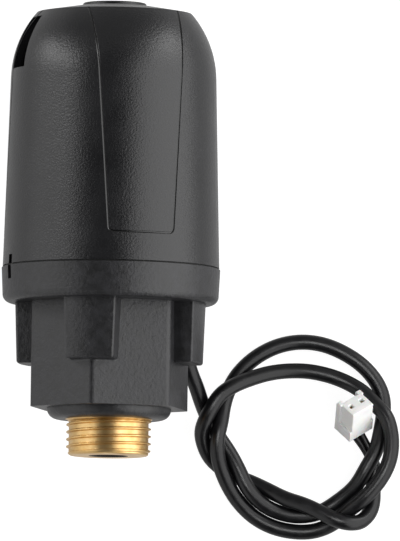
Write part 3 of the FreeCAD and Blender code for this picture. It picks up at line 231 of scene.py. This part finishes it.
# natural nylon 66, moulded: milky white, a little light goes in, soft gloss
nylon = finish("nylonWhiteMoulded", {
    "colour": "#fcfcfa", "pale": "#f5f5f2", "cloud": 2.0, "roughness": (0.3, 0.42), "grain": 0.5, "depth": 0.02,
    "sockets": {"IOR": 1.53, "Subsurface Weight": 0.15, "Subsurface Scale": 0.5 * mm}})
# EPDM rubber, pressed: dead black, matt, with a dusty bloom
rubber = finish("epdmRubberPressed", {
    "colour": "#0d0d0d", "pale": "#1b1b1a", "cloud": 1.6, "cloudDetail": 5.0, "roughness": (0.62, 0.8),
    "grain": 0.3, "depth": 0.03, "sockets": {"IOR": 1.5}})
# acetal, moulded: smooth cool grey with a waxy gloss
acetal = finish("acetalGreyMoulded", {
    "colour": "#97989b", "pale": "#a3a4a7", "cloud": 5.0, "roughness": (0.34, 0.46), "grain": 0.35,
    "depth": 0.02, "sockets": {"IOR": 1.48}})
# steel, zinc plated and passivated: pale bluish metal with a soft crystal cloud
zincSteel = finish("steelZincPlated", {
    "colour": "#cdd1d6", "pale": "#aeb3b9", "cloud": 1.8, "cloudDetail": 4.0, "roughness": (0.24, 0.42),
    "grain": 0.3, "depth": 0.015, "sockets": {"Metallic": 1.0}})
# spring steel, drawn and oiled: dark grey metal, brighter where it rubs
springSteel = finish("springSteelDrawn", {
    "colour": "#85888d", "pale": "#a5a8ad", "cloud": 0.9, "cloudDetail": 4.0, "roughness": (0.22, 0.38),
    "grain": 0.15, "depth": 0.01, "sockets": {"Metallic": 1.0}})
# PBT, moulded: black and even, the small mouldings of the snap switch
blackPbt = finish("pbtBlackMoulded", {
    "colour": "#161719", "pale": "#1f2022", "cloud": 3.0, "roughness": (0.36, 0.5), "grain": 0.3, "depth": 0.02,
    "sockets": {"IOR": 1.55}})
# PBT, moulded: signal red, polished by use at the tip
redPbt = finish("pbtRedMoulded", {
    "colour": "#c43f38", "pale": "#b4342e", "cloud": 0.8, "roughness": (0.22, 0.34), "grain": 0.2,
    "depth": 0.01, "sockets": {"IOR": 1.55}})

putOn(blackAbs, "cap", "crown_plug")
putOn(filledNylon, "base_housing")
putOn(nylon, "plug_housing", "cable_tie")
putOn(brassStrip, "plug_terminals", "microswitch_terminals")
putOn(jacket, "inner_cable", "lead_wires")
putOn(rubber, "cable_grommet", "diaphragm")
putOn(acetal, "piston", "clamp_plate")
putOn(zincSteel, "mechanism_frame", "actuator_arm", "spring_nut")
putOn(springSteel, "screw_clip")
putOn(blackPbt, "microswitch_case", "microswitch_cover")
putOn(redPbt, "microswitch_button")
print("materials:", len(bpy.data.materials))


# brass inlet: a pipe thread with narrow crests and broad roots, and a bore that narrows to an orifice
inletFacts = {
    "major": 10.4775, "depth": 0.62, "pitch": 1.814,  # G 1/2, right-handed, cut shallow
    "start": 0.34, "rootToCrest": 0.5,  # the first root's place, and from a root to a crest in pitches
    "crest": 0.06, "flank": 0.17,  # half a crest's flat and the width of a flank, in pitches
    "length": 9.0, "nose": 1.35, "noseRun": 2.0, "runOut": 0.7,
    "bore": 4.83,  # the wall inside this radius is painted dark as shade
    "around": 180, "rows": 150,
    "inside": [(9.02, 10.8), (11.0, 10.8), (11.0, 12.2), (18.0, 12.2), (18.0, 2.5), (9.2, 2.5), (8.0, 4.5),
               (0.35, 4.5), (0.0, 4.85)],  # the rest of the outline, distance along and radius
}


def makeInlet(facts):
    # radius = major less depth times (1 - hump); the hump is 1 on the crest and falls in an S over each flank,
    # once a pitch, and it moves along by a pitch in one turn of the angle
    angle = np.linspace(0, 2 * math.pi, facts["around"], endpoint=False)[None, :]
    along = np.linspace(0, facts["length"], facts["rows"])[:, None]
    phase = (along - facts["start"]) / facts["pitch"] + angle / (2 * math.pi) + facts["rootToCrest"]
    offCrest = np.abs(phase - np.round(phase))
    climbed = np.clip((facts["crest"] + facts["flank"] - offCrest) / facts["flank"], 0, 1)
    hump = climbed ** 2 * (3 - 2 * climbed)
    fade = np.clip((facts["length"] - along) / facts["runOut"], 0, 1)  # runs out under the flange
    cut = facts["major"] - facts["depth"] * (1 - hump) * fade
    climb = np.clip(along / facts["noseRun"], 0, 1)
    nose = facts["major"] - facts["nose"] * (1 - np.sqrt(1 - (1 - climb) ** 2))  # quarter-round at the open end
    outside = np.stack([np.broadcast_to(along, cut.shape), np.minimum(cut, nose)], -1)
    inside = np.array(facts["inside"])[:, None, :] * np.ones((1, facts["around"], 1))
    profile = np.concatenate([outside, inside, outside[:1]])
    piece = gridMesh("inletFitting", [(aroundAxis(profile[..., 1], profile[..., 0], angle), True)], brass)
    piece.data.materials.append(borePaintedShade)
    faces = piece.data.polygons
    middles = np.empty(3 * len(faces))
    faces.foreach_get("center", middles)
    offAxis = np.hypot(middles[0::3], middles[2::3] - axisHeight)
    faces.foreach_set("material_index", (offAxis < facts["bore"] * mm).astype(np.int32))  # painted shade on the bore's wall
    return piece


inlet = makeInlet(inletFacts)
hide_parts("inlet_fitting")
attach(inlet, "base")
print("inlet turned:", len(inlet.data.polygons), "faces")


# cap grooves: a lining in the groove round each of the cap's three panels, steep on the panel's side
grooveFacts = {
    "capBase": 46.65, "capRadius": 26.75, "domeCentre": 92.95, "domeRadius": 25.4, "crownEdge": 19.2,
    "foot": 53.6, "footHalf": 8.35, "headHalf": 11.6, "head": 112.15, "corner": 1.3,
    "panels": (73, 193, 313),  # degrees from +X towards +Z
    "section": [(-0.32, -0.01), (-0.24, -0.17), (-0.16, -0.235), (0.02, -0.24), (0.3, -0.0), (0.32, -0.27),
                (-0.32, -0.27)],  # across, outwards from the panel, and depth
    "sideRows": 90, "cornerRows": 9, "footRows": 24,
}


def makeGrooves(facts):
    # path on the cap: down one side, round a corner, along the foot, round a corner and up the other side;
    # the section stands across the path, between the surface's normal and its sideways direction
    crown = facts["domeCentre"] + math.sqrt(facts["domeRadius"] ** 2 - facts["crownEdge"] ** 2)
    low = facts["foot"] + facts["corner"]
    down = np.linspace(crown, low, facts["sideRows"])
    half = facts["footHalf"] + (facts["headHalf"] - facts["footHalf"]) * (down - low) / (facts["head"] - low)
    turn = np.linspace(math.pi, 1.5 * math.pi, facts["cornerRows"])[1:-1]
    inner = facts["footHalf"] - facts["corner"]
    cornerAcross = -inner + facts["corner"] * np.cos(turn)
    cornerUp = low + facts["corner"] * np.sin(turn)
    foot = np.linspace(-inner, inner, facts["footRows"])
    across = np.concatenate([-half, cornerAcross, foot, -cornerAcross[::-1], half[::-1]])
    up = np.concatenate([down, cornerUp, np.full(len(foot), facts["foot"]), cornerUp[::-1], down[::-1]])

    reach = math.hypot(facts["capRadius"], facts["domeCentre"] - facts["capBase"])
    touch = math.acos(facts["domeRadius"] / reach) - math.asin((facts["domeCentre"] - facts["capBase"]) / reach)
    slope = -math.tan(touch)  # draft of the wall, which runs into the dome with no edge
    meet = facts["domeCentre"] + facts["domeRadius"] * math.sin(touch)
    lift = np.clip(up - facts["domeCentre"], 0, None)
    dome = np.sqrt(facts["domeRadius"] ** 2 - lift ** 2)
    radius = np.where(up > meet, dome, facts["capRadius"] + slope * (up - facts["capBase"]))
    lean = np.where(up > meet, -lift / dome, slope)

    grids = []
    for centre in facts["panels"]:
        angle = math.radians(centre) - np.arcsin(across / radius)
        path = aroundAxis(radius, up, angle)
        normal = np.stack([np.cos(angle), -lean, np.sin(angle)], -1)
        normal /= np.linalg.norm(normal, axis=1, keepdims=True)
        side = np.cross(np.gradient(path, axis=0), normal)
        side /= np.linalg.norm(side, axis=1, keepdims=True)
        section = np.array(facts["section"]) * mm
        grid = path[:, None] + section[:, :1] * side[:, None] + section[:, 1:] * normal[:, None]
        ends = [np.broadcast_to(grid[end].mean(0), grid[:1].shape) for end in (0, -1)]
        grids.append((np.concatenate([ends[0], grid, ends[1]]), True))
    # the lining's blacker colour is painted shade in the grooves
    return gridMesh("panelGrooves", grids, grooveAbsPaintedShade, crease=75)


grooves = makeGrooves(grooveFacts)
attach(grooves, "cap")
print("panel grooves lined:", len(grooves.data.polygons), "faces")


# seal between collar and cap: a rubber ring whose rounded edge nearly fills the seam
sealFacts = {
    "section": [(24.55, 46.25), (26.4, 46.25), (26.54, 46.31), (26.6, 46.45), (26.54, 46.59), (26.4, 46.65),
                (24.55, 46.65)],  # radius and distance along
    "around": 160,
}


def makeSeal(facts):
    # the section turned once about the axis
    angle = np.linspace(0, 2 * math.pi, facts["around"], endpoint=False)[None, :]
    section = np.array(facts["section"] + facts["section"][:1])
    return gridMesh("capSeal", [(aroundAxis(section[:, :1], section[:, 1:], angle), True)], rubber, crease=50)


seal = makeSeal(sealFacts)
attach(seal, "base")
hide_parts("cap_gasket")
print("seal laid")


# cord: out of the bush, down to the table, then three loose turns that tuck through each other
cordFacts = {
    "diameter": 3.8, "length": 367.2,
    "resolution": 6, "roundness": 6,  # steps along between two points, and around a quarter of the section
    "lead": [  # out of the bush and down, x, y, z
        (17.98, -21.22, 15.77), (17.98, -25.82, 15.77), (18.71, -30.46, 14.77),
        (20.15, -34.87, 12.89), (21.48, -37.73, 10.43), (22.62, -41.04, 8.49)],
    "coilCentre": (46.3, -50.5),
    "firstTurn": [  # angle, radius, height
        (165, 23.0, 5.4), (177, 19.4, 5.1), (191, 16.7, 5.5), (207, 15.9, 6.1), (225.5, 17.0, 5.8),
        (242, 17.9, 4.7), (257, 18.4, 3.7), (273, 18.8, 3.0), (289, 18.9, 2.5), (307, 18.3, 2.9),
        (323.5, 18.8, 4.2), (339.5, 18.8, 5.4), (354, 20.2, 5.1), (7, 21.2, 3.9), (17.5, 22.8, 2.7),
        (27.5, 24.4, 2.3), (37.5, 25.1, 2.2), (49.5, 25.3, 2.2), (62.5, 25.2, 2.3), (75.5, 25.2, 2.5),
        (88.5, 24.9, 2.8), (102, 24.2, 3.5), (116, 23.2, 4.3), (130.5, 22.1, 5.3), (143, 21.0, 6.2),
        (155, 19.9, 7.4)],
    "secondTurn": [
        (167.5, 19.0, 8.8), (179.5, 19.5, 9.3), (191.5, 19.8, 8.4), (202, 19.9, 7.1), (214.5, 20.2, 5.6),
        (227, 20.8, 4.4), (241, 21.6, 3.5), (255, 22.2, 3.0), (269, 22.6, 2.8), (282, 23.0, 3.0),
        (295, 22.7, 3.7), (308, 21.7, 5.2), (318.5, 22.2, 6.8), (328, 22.7, 7.4), (338.5, 23.4, 7.9),
        (348.5, 23.9, 7.9), (358, 23.9, 7.6), (7, 23.7, 7.2), (16, 23.3, 6.9), (25, 21.7, 6.1), (36, 20.8, 5.1),
        (48.5, 19.5, 4.4), (62.5, 18.4, 4.3), (79.5, 17.7, 4.6), (96.5, 17.5, 5.4), (112.5, 18.0, 6.8),
        (128, 19.0, 8.4), (139, 20.3, 10.0), (149.5, 21.8, 10.8)],
    "lastTurn": [
        (160, 22.3, 10.9), (169, 23.0, 9.8), (176, 23.5, 8.1), (183.5, 22.9, 6.4), (191.5, 21.8, 4.7),
        (199, 20.1, 3.3), (209, 17.9, 2.2), (221.5, 15.2, 1.9), (240, 14.0, 3.2), (260.5, 14.7, 4.8),
        (277, 15.9, 6.1), (289, 18.7, 7.3), (297, 22.2, 8.3), (303.5, 24.7, 7.9), (309.5, 26.0, 5.7),
        (316.5, 25.7, 4.1), (322.5, 24.5, 3.0), (328.5, 22.8, 2.4), (335.5, 21.3, 2.0), (343.5, 21.0, 1.9)],
}


def layCord(facts):
    # the lead's places as they are, the turns from angle, radius and height about the coil's centre
    turns = np.array(facts["firstTurn"] + facts["secondTurn"] + facts["lastTurn"])
    angle = np.radians(turns[:, 0])
    flat = np.array(facts["coilCentre"]) + turns[:, 1:2] * np.stack([np.cos(angle), np.sin(angle)], -1)
    places = np.vstack([facts["lead"], np.column_stack([flat, turns[:, 2]])]) * mm
    curve = bpy.data.curves.new("cord", "CURVE")
    curve.dimensions = "3D"
    spline = curve.splines.new("NURBS")
    spline.points.add(len(places) - 1)
    spline.points.foreach_set("co", np.column_stack([places, np.ones(len(places))]).ravel())
    spline.order_u = 3
    spline.use_endpoint_u = True
    spline.resolution_u = facts["resolution"]
    curve.bevel_depth = facts["diameter"] / 2 * mm
    curve.bevel_resolution = facts["roundness"]
    curve.use_fill_caps = True
    curve.materials.append(jacket)
    piece = bpy.data.objects.new("cord", curve)
    bpy.context.scene.collection.objects.link(piece)
    return piece, places


cord, cordPlaces = layCord(cordFacts)

# moulded edges of the plug are soft: its triangles are joined and its sharp edges rounded
plugEdge = {"weld": 0.002, "round": 0.3, "segments": 3, "sharp": 40}
joined = nodes["plug_housing"].modifiers.new("joined", "WELD")
joined.merge_threshold = plugEdge["weld"] * mm
rounded = nodes["plug_housing"].modifiers.new("rounded", "BEVEL")
rounded.width = plugEdge["round"] * mm
rounded.segments = plugEdge["segments"]
rounded.limit_method = "ANGLE"
rounded.angle_limit = math.radians(plugEdge["sharp"])
rounded.use_clamp_overlap = False
rounded.harden_normals = True

# two thin cores from the end of the jacket into the plug
coreFacts = {
    "radius": 0.84, "spread": 0.86,  # half the cores' distance in the jacket
    "plugFoot": (60.6, -47.15, 3.5), "heading": -4.3, "lean": 37.7, "roll": 43.9,  # as the plug lies
    "mouth": 1.6, "level": -0.2, "depth": 1.0, "pinch": 0.55,  # the cores' places in the plug's wire end
    "plugPull": 2.4, "jacketPull": 2.0, "tuck": 2.0, "rows": 40,
}


def makeCores(facts, jacketEnd, jacketBefore):
    # each core is a cubic curve between two places, leaving each along its own direction
    heading, lean, roll = (math.radians(facts[key]) for key in ("heading", "lean", "roll"))
    plugTurn = np.array(
        Matrix.Rotation(heading, 3, "Z") @ Matrix.Rotation(-lean, 3, "X") @ Matrix.Rotation(roll, 3, "Z"))
    inPlug = (facts["mouth"], facts["depth"])
    outOfPlug = (facts["pinch"], facts["depth"] - facts["plugPull"])
    outwards = (jacketEnd - jacketBefore) / np.linalg.norm(jacketEnd - jacketBefore)
    sideways = np.array([-outwards[1], outwards[0], 0])
    step = np.linspace(0, 1, facts["rows"])[:, None]
    grids = []
    for side in (-1, 1):
        plugEnd, plugNear = (
            np.array(facts["plugFoot"]) + plugTurn @ np.array([apart * side, facts["level"], up])
            for apart, up in (inPlug, outOfPlug))
        plugNear[2] = max(plugNear[2], facts["radius"])
        cordEnd = jacketEnd / mm - outwards * facts["tuck"] - sideways * facts["spread"] * side
        cordNear = cordEnd + outwards * (facts["tuck"] + facts["jacketPull"])
        path = ((1 - step) ** 3 * plugEnd + 3 * (1 - step) ** 2 * step * plugNear
                + 3 * (1 - step) * step ** 2 * cordNear + step ** 3 * cordEnd)
        grids.append((tubeAlong(path * mm, facts["radius"] * mm, np.array([0, 0, 1.0])), True))
    return gridMesh("plugCores", grids, jacket)


cores = makeCores(coreFacts, cordPlaces[-1], cordPlaces[-2])
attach(cores, "base")
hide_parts("plug_wires")
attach(cord, "base")
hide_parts("cord_lead", "cord_coil")
print("cord laid:", len(cordPlaces), "points")


# range spring: round wire with closed ends, in two lengths split halfway along
springFacts = {
    "radius": 6.4, "wire": 0.8, "base": 43.5, "length": 26.5,
    "turns": 8.5, "closedTurns": 1.0, "closedPitch": 1.62, "rowsPerTurn": 40,
    "openingRun": 0.5,  # turns over which the pitch opens
}


def makeSpring(facts):
    # a helix whose rise per turn is the wire's own width at the ends and an even open pitch between
    turn = np.linspace(0, facts["turns"], int(facts["turns"] * facts["rowsPerTurn"]) + 1)
    fromEnd = np.minimum(turn, facts["turns"] - turn)
    opening = np.clip((fromEnd - facts["closedTurns"] + facts["openingRun"] / 2) / facts["openingRun"], 0, 1)
    room = facts["length"] - 2 * facts["wire"]
    spare = room - facts["closedPitch"] * facts["turns"]
    opened = np.concatenate([[0], np.cumsum((opening[1:] + opening[:-1]) / 2)])
    height = facts["base"] + facts["wire"] + facts["closedPitch"] * turn + spare * opened / opened[-1]
    path = aroundAxis(facts["radius"], height, lugTurn - 2 * math.pi * turn)
    middle = len(turn) // 2
    axis = np.array([0, 1.0, 0])
    lower, upper = (
        gridMesh(name, [(tubeAlong(part, facts["wire"] * mm, axis), True)], springSteel)
        for name, part in (("rangeSpringLower", path[:middle + 1]), ("rangeSpringUpper", path[middle:])))
    heights = (facts["base"], height[middle], facts["base"] + facts["length"])
    return lower, upper, [aroundAxis(0, place, 0) for place in heights]


springLower, springUpper, springPlaces = makeSpring(springFacts)
for piece in (springLower, springUpper):
    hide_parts("range_spring")
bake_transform(springLower)
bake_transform(springUpper)
print("spring wound")


# screws: pan heads with a cross recess
screwFacts = {
    "clamp": {
        "head": 2.6, "height": 2.1, "shank": 1.25, "slotHalf": 0.38, "slotReach": 1.75, "slotDepth": 1.1,
        "axis": (0, 0, 1), "across": (1, 0, 0), "foot": 29.2,
        "places": [(19.8, 0, 44.7), (0, 19.8, 43.2), (-19.8, 0, 44.7), (0, -19.8, 43.2)]},
    "microswitch": {
        "head": 1.9, "height": 1.3, "shank": 1.0, "slotHalf": 0.3, "slotReach": 1.25, "slotDepth": 0.7,
        "axis": (1, 0, 0), "across": (0, 1, 0), "foot": 10.7,
        "places": [(19.1, -4.75, 57.0), (19.1, 4.75, 57.0)]},
    "around": 72, "topRows": 24, "softWall": 0.16,
    "topShare": 0.86, "domeFall": 0.22,  # of the head's radius that is its top, of its height lost at the edge
    "rim": [(0.95, 0.66), (0.99, 0.45), (1.0, 0.2), (1.0, 0.0)],  # shares of the head's radius and height
}


def screwGrid(facts, place):
    # rings from the recess's middle out over the domed head, down its edge and along the shank;
    # the recess is a cross that dips by its depth, with a soft wall centred on its edge
    angle = np.linspace(0, 2 * math.pi, screwFacts["around"], endpoint=False)[None, :]
    head, height = facts["head"], facts["height"]
    top = np.linspace(0, head * screwFacts["topShare"], screwFacts["topRows"])[:, None]
    x, y = np.abs(top * np.cos(angle)), np.abs(top * np.sin(angle))
    soft = screwFacts["softWall"]
    inArm = np.clip((facts["slotHalf"] - np.minimum(x, y)) / soft + 0.5, 0, 1)
    inReach = np.clip((facts["slotReach"] - np.maximum(x, y)) / soft + 0.5, 0, 1)
    dip = facts["slotDepth"] * inArm * inReach
    level = height * (1 - screwFacts["domeFall"] * (top / head) ** 2) - dip
    foot = facts["foot"] - np.dot(place, facts["axis"])
    rim = np.array(screwFacts["rim"]) * (head, height)
    shank = np.array([(facts["shank"], 0), (facts["shank"], foot), (0, foot)])
    rest = np.vstack([rim, shank])[:, None, :] * np.ones((1, screwFacts["around"], 1))
    radius = np.vstack([np.broadcast_to(top, level.shape), rest[..., 0]])
    level = np.vstack([level, rest[..., 1]])
    axis, across = np.array(facts["axis"]), np.array(facts["across"])
    over = np.cross(axis, across)
    spots = (np.array(place) + level[..., None] * axis
             + radius[..., None] * (np.cos(angle)[..., None] * across + np.sin(angle)[..., None] * over))
    return asLying(spots), True


for group, node in (("clamp", "clamp_screws"), ("microswitch", "microswitch_screws")):
    grids = [screwGrid(screwFacts[group], place) for place in screwFacts[group]["places"]]
    screws = gridMesh(group + "Screws", grids, zincSteel, crease=35)
    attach(screws, "base")
    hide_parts(node)
print("screws driven")


# adjusting screw: threaded shank, collar under the frame, clip groove above it and a slotted end
adjusterFacts = {
    "radius": 4.0, "depth": 0.7, "pitch": 1.25, "bottom": 58.0, "top": 98.8, "chamfer": 0.6,
    "flat": 0.1,  # of half a pitch, at crest and root
    "collar": [(88.0, 4.0), (88.0, 5.8), (88.2, 6.0), (90.1, 6.0), (90.3, 5.8), (90.3, 4.0), (92.2, 4.0),
               (92.2, 3.2), (93.1, 3.2), (93.1, 4.0), (96.8, 4.0),
               (96.8, 0.0)],  # height and radius, up to the slot's floor
    "slotFloor": 96.8, "slotHalf": 0.8, "around": 64, "rowsPerPitch": 12, "endColumns": 40,
}


def makeAdjuster(facts):
    # thread: radius less depth times a rounded triangle wave; the two halves beside the slot stand on its floor
    angle = np.linspace(0, 2 * math.pi, facts["around"], endpoint=False)[None, :]
    threadTop = facts["collar"][0][0]
    rows = int((threadTop - facts["bottom"]) / facts["pitch"] * facts["rowsPerPitch"])
    height = np.linspace(facts["bottom"], threadTop, rows)[:, None]
    phase = height / facts["pitch"] - angle / (2 * math.pi)
    wave = np.abs(2 * (phase - np.floor(phase)) - 1)
    flank = 0.5 - 0.5 * np.cos(math.pi * np.clip((wave - facts["flat"]) / (1 - 2 * facts["flat"]), 0, 1))
    runOut = np.clip((threadTop - height) / facts["pitch"], 0, 1)
    lead = facts["radius"] - facts["chamfer"] + (height - facts["bottom"])
    radius = np.minimum(facts["radius"] - facts["depth"] * (1 - flank) * runOut, lead)
    collar = np.array(facts["collar"])[:, None, :] * np.ones((1, facts["around"], 1))
    radius = np.vstack([0 * radius[:1], radius, collar[..., 1]])
    height = np.vstack([
        np.broadcast_to(height[:1], (1, facts["around"])), np.broadcast_to(height, (rows, facts["around"])),
        collar[..., 0]])
    spots = np.stack([radius * np.cos(angle), radius * np.sin(angle), height], -1)
    grids = [(asLying(spots), True)]
    floor, top = facts["slotFloor"], facts["top"]
    levels = np.array([floor, floor, top - facts["chamfer"], top, top])
    shrink = np.array([0, 1, 1, 1, 0])
    inset = np.array([0, 0, 0, facts["chamfer"], 0])
    for side in (-1, 1):
        edge = facts["radius"] - inset[:, None]
        start = np.arcsin(facts["slotHalf"] / edge)
        sweep = start + (math.pi - 2 * start) * np.linspace(0, 1, facts["endColumns"])[None, :]
        middle = (facts["radius"] + facts["slotHalf"]) / 2
        x = shrink[:, None] * edge * np.cos(sweep)
        y = middle + shrink[:, None] * (edge * np.sin(sweep) - middle)
        half = np.stack([x, y * side, np.broadcast_to(levels[:, None], x.shape)], -1)
        grids.append((asLying(half), True))
    return gridMesh("adjustingScrew", grids, zincSteel, crease=50)


adjuster = makeAdjuster(adjusterFacts)
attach(adjuster, "adjuster")
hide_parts("adjusting_screw")
print("adjusting screw cut:", len(adjuster.data.polygons), "faces")


# white table, soft lights at both sides with brighter far ends, a weak one behind the crown,
# and nearly dark above but for one light on the cord alone
stage = {
    "tableSize": 3.0,
    "tableDrop": 0.1,       # millimetres under the object, so that the two don't share a plane
    "tableGlow": 0.92,      # what the camera sees of the table without any light on it
    "tableMirror": 0.4,     # the same in reflections
    "tablePaint": "#979797",
    "world": 0.05,
    "panels": {  # soft lights: middle, the way they face, size and the brightness of their faces
        "left": {
            "centre": (-0.45, -0.35, 0.32), "facing": (1, 0, 0), "width": 1.2, "height": 0.64, "glow": 1.15},
        "leftEnd": {
            "centre": (-0.44, 0.24, 0.26), "facing": (1, -0.4, 0), "width": 0.08, "height": 0.5, "glow": 7.0},
        "right": {
            "centre": (0.45, -0.3, 0.57), "facing": (-1, 0, 0), "width": 1.3, "height": 1.15, "glow": 2.4},
        "rightEnd": {
            "centre": (0.44, 0.37, 0.24), "facing": (-1, -0.7, 0), "width": 0.11, "height": 0.48, "glow": 4.4},
        "back": {
            "centre": (0, 1.1, 1.0), "facing": (0, -1, 0), "width": 2.2, "height": 2.0, "glow": 0.3},
        "coilTop": {  # on the cord alone, whose strands shine along their tops
            "centre": (0.047, -0.051, 0.5), "facing": (0, 0, -1), "upright": (0, 1, 0), "width": 0.2,
            "height": 0.2, "glow": 10.0, "lights": [cord, cores]},
    },
}


def makeTable(facts):
    half = facts["tableSize"] / 2
    drop = -facts["tableDrop"] * mm
    corners = np.array([[[-half, -half, drop], [half, -half, drop]], [[-half, half, drop], [half, half, drop]]])
    material, tree = bareMaterial("tablePaper")
    paper = addNode(tree, "ShaderNodeBsdfDiffuse", {"Color": linear(facts["tablePaint"])})
    path = addNode(tree, "ShaderNodeLightPath")
    straight = addNode(tree, "ShaderNodeMath", {
        0: path.outputs["Is Camera Ray"], 1: path.outputs["Is Transmission Ray"]}, operation="MAXIMUM")
    direct = addNode(tree, "ShaderNodeMath", {
        0: straight.outputs[0], 1: facts["tableGlow"]}, operation="MULTIPLY")
    mirrored = addNode(tree, "ShaderNodeMath", {
        0: path.outputs["Is Glossy Ray"], 1: facts["tableMirror"]}, operation="MULTIPLY")
    strength = addNode(tree, "ShaderNodeMath", {
        0: direct.outputs[0], 1: mirrored.outputs[0]}, operation="MAXIMUM")
    glow = addNode(tree, "ShaderNodeEmission", {"Color": (1, 1, 1, 1), "Strength": strength.outputs[0]})
    both = addNode(tree, "ShaderNodeAddShader", {0: paper.outputs[0], 1: glow.outputs[0]})
    addNode(tree, "ShaderNodeOutputMaterial", {"Surface": both.outputs[0]})
    gridMesh("table", [(corners, False)], material)


def facingMatrix(across, upright, back, centre):
    # an object that looks along its own -Z, with its X across the picture and its Y up it
    place = Matrix.Identity(4)
    for row, values in enumerate(np.column_stack([across, upright, back])):
        place[row][:3] = values
    place.translation = centre
    return place


def softLight(name, facts):
    # a panel: its glow is the brightness of its face, 1 is white
    data = bpy.data.lights.new(name, "AREA")
    data.shape = "RECTANGLE"
    data.size = facts["width"]
    data.size_y = facts["height"]
    data.energy = facts["glow"] * math.pi * facts["width"] * facts["height"]
    light = bpy.data.objects.new(name, data)
    back = -np.array(facts["facing"], float)
    back /= np.linalg.norm(back)
    upright = np.array(facts.get("upright", (0, 0, 1)), float)
    light.matrix_world = facingMatrix(np.cross(upright, back), upright, back, facts["centre"])
    bpy.context.scene.collection.objects.link(light)
    if "lights" in facts:  # it shines on these pieces alone
        lit = bpy.data.collections.new(name + "Lights")
        for piece in facts["lights"]:
            lit.objects.link(piece)
        light.light_linking.receiver_collection = lit


def makeWorld(strength):
    world = bpy.data.worlds.new("studio")
    world.use_nodes = True
    tree = world.node_tree
    tree.nodes.clear()
    path = addNode(tree, "ShaderNodeLightPath")
    level = addNode(tree, "ShaderNodeMapRange", {
        "Value": path.outputs["Is Camera Ray"], "To Min": strength, "To Max": 1.0})  # white to the camera
    sky = addNode(tree, "ShaderNodeBackground", {"Color": (1, 1, 1, 1), "Strength": level.outputs["Result"]})
    addNode(tree, "ShaderNodeOutputWorld", {"Surface": sky.outputs[0]})
    bpy.context.scene.world = world


makeTable(stage)
for name, facts in stage["panels"].items():
    softLight(name + "Softbox", facts)
makeWorld(stage["world"])
print("stage set")


# camera nearly straight above, a little towards the inlet, far off with a long lens
cameraFacts = {
    "aim": (0.02198, -0.0102, 0.027), "elevation": 85.5, "distance": 4.0, "lens": 1078.0, "roll": 0.8}


def makeCamera(facts):
    tilt = math.radians(facts["elevation"])
    roll = math.radians(facts["roll"])
    back = np.array([0, -math.cos(tilt), math.sin(tilt)])
    right = np.array([1.0, 0, 0])
    up = np.cross(back, right)
    across = math.cos(roll) * right + math.sin(roll) * up
    upright = math.cos(roll) * up - math.sin(roll) * right
    data = bpy.data.cameras.new("camera")
    data.lens = facts["lens"]
    camera = bpy.data.objects.new("camera", data)
    camera.matrix_world = facingMatrix(across, upright, back, np.array(facts["aim"]) + facts["distance"] * back)
    bpy.context.scene.collection.objects.link(camera)
    bpy.context.scene.camera = camera


makeCamera(cameraFacts)
bpy.context.scene.view_settings.view_transform = "Standard"
print("camera set")
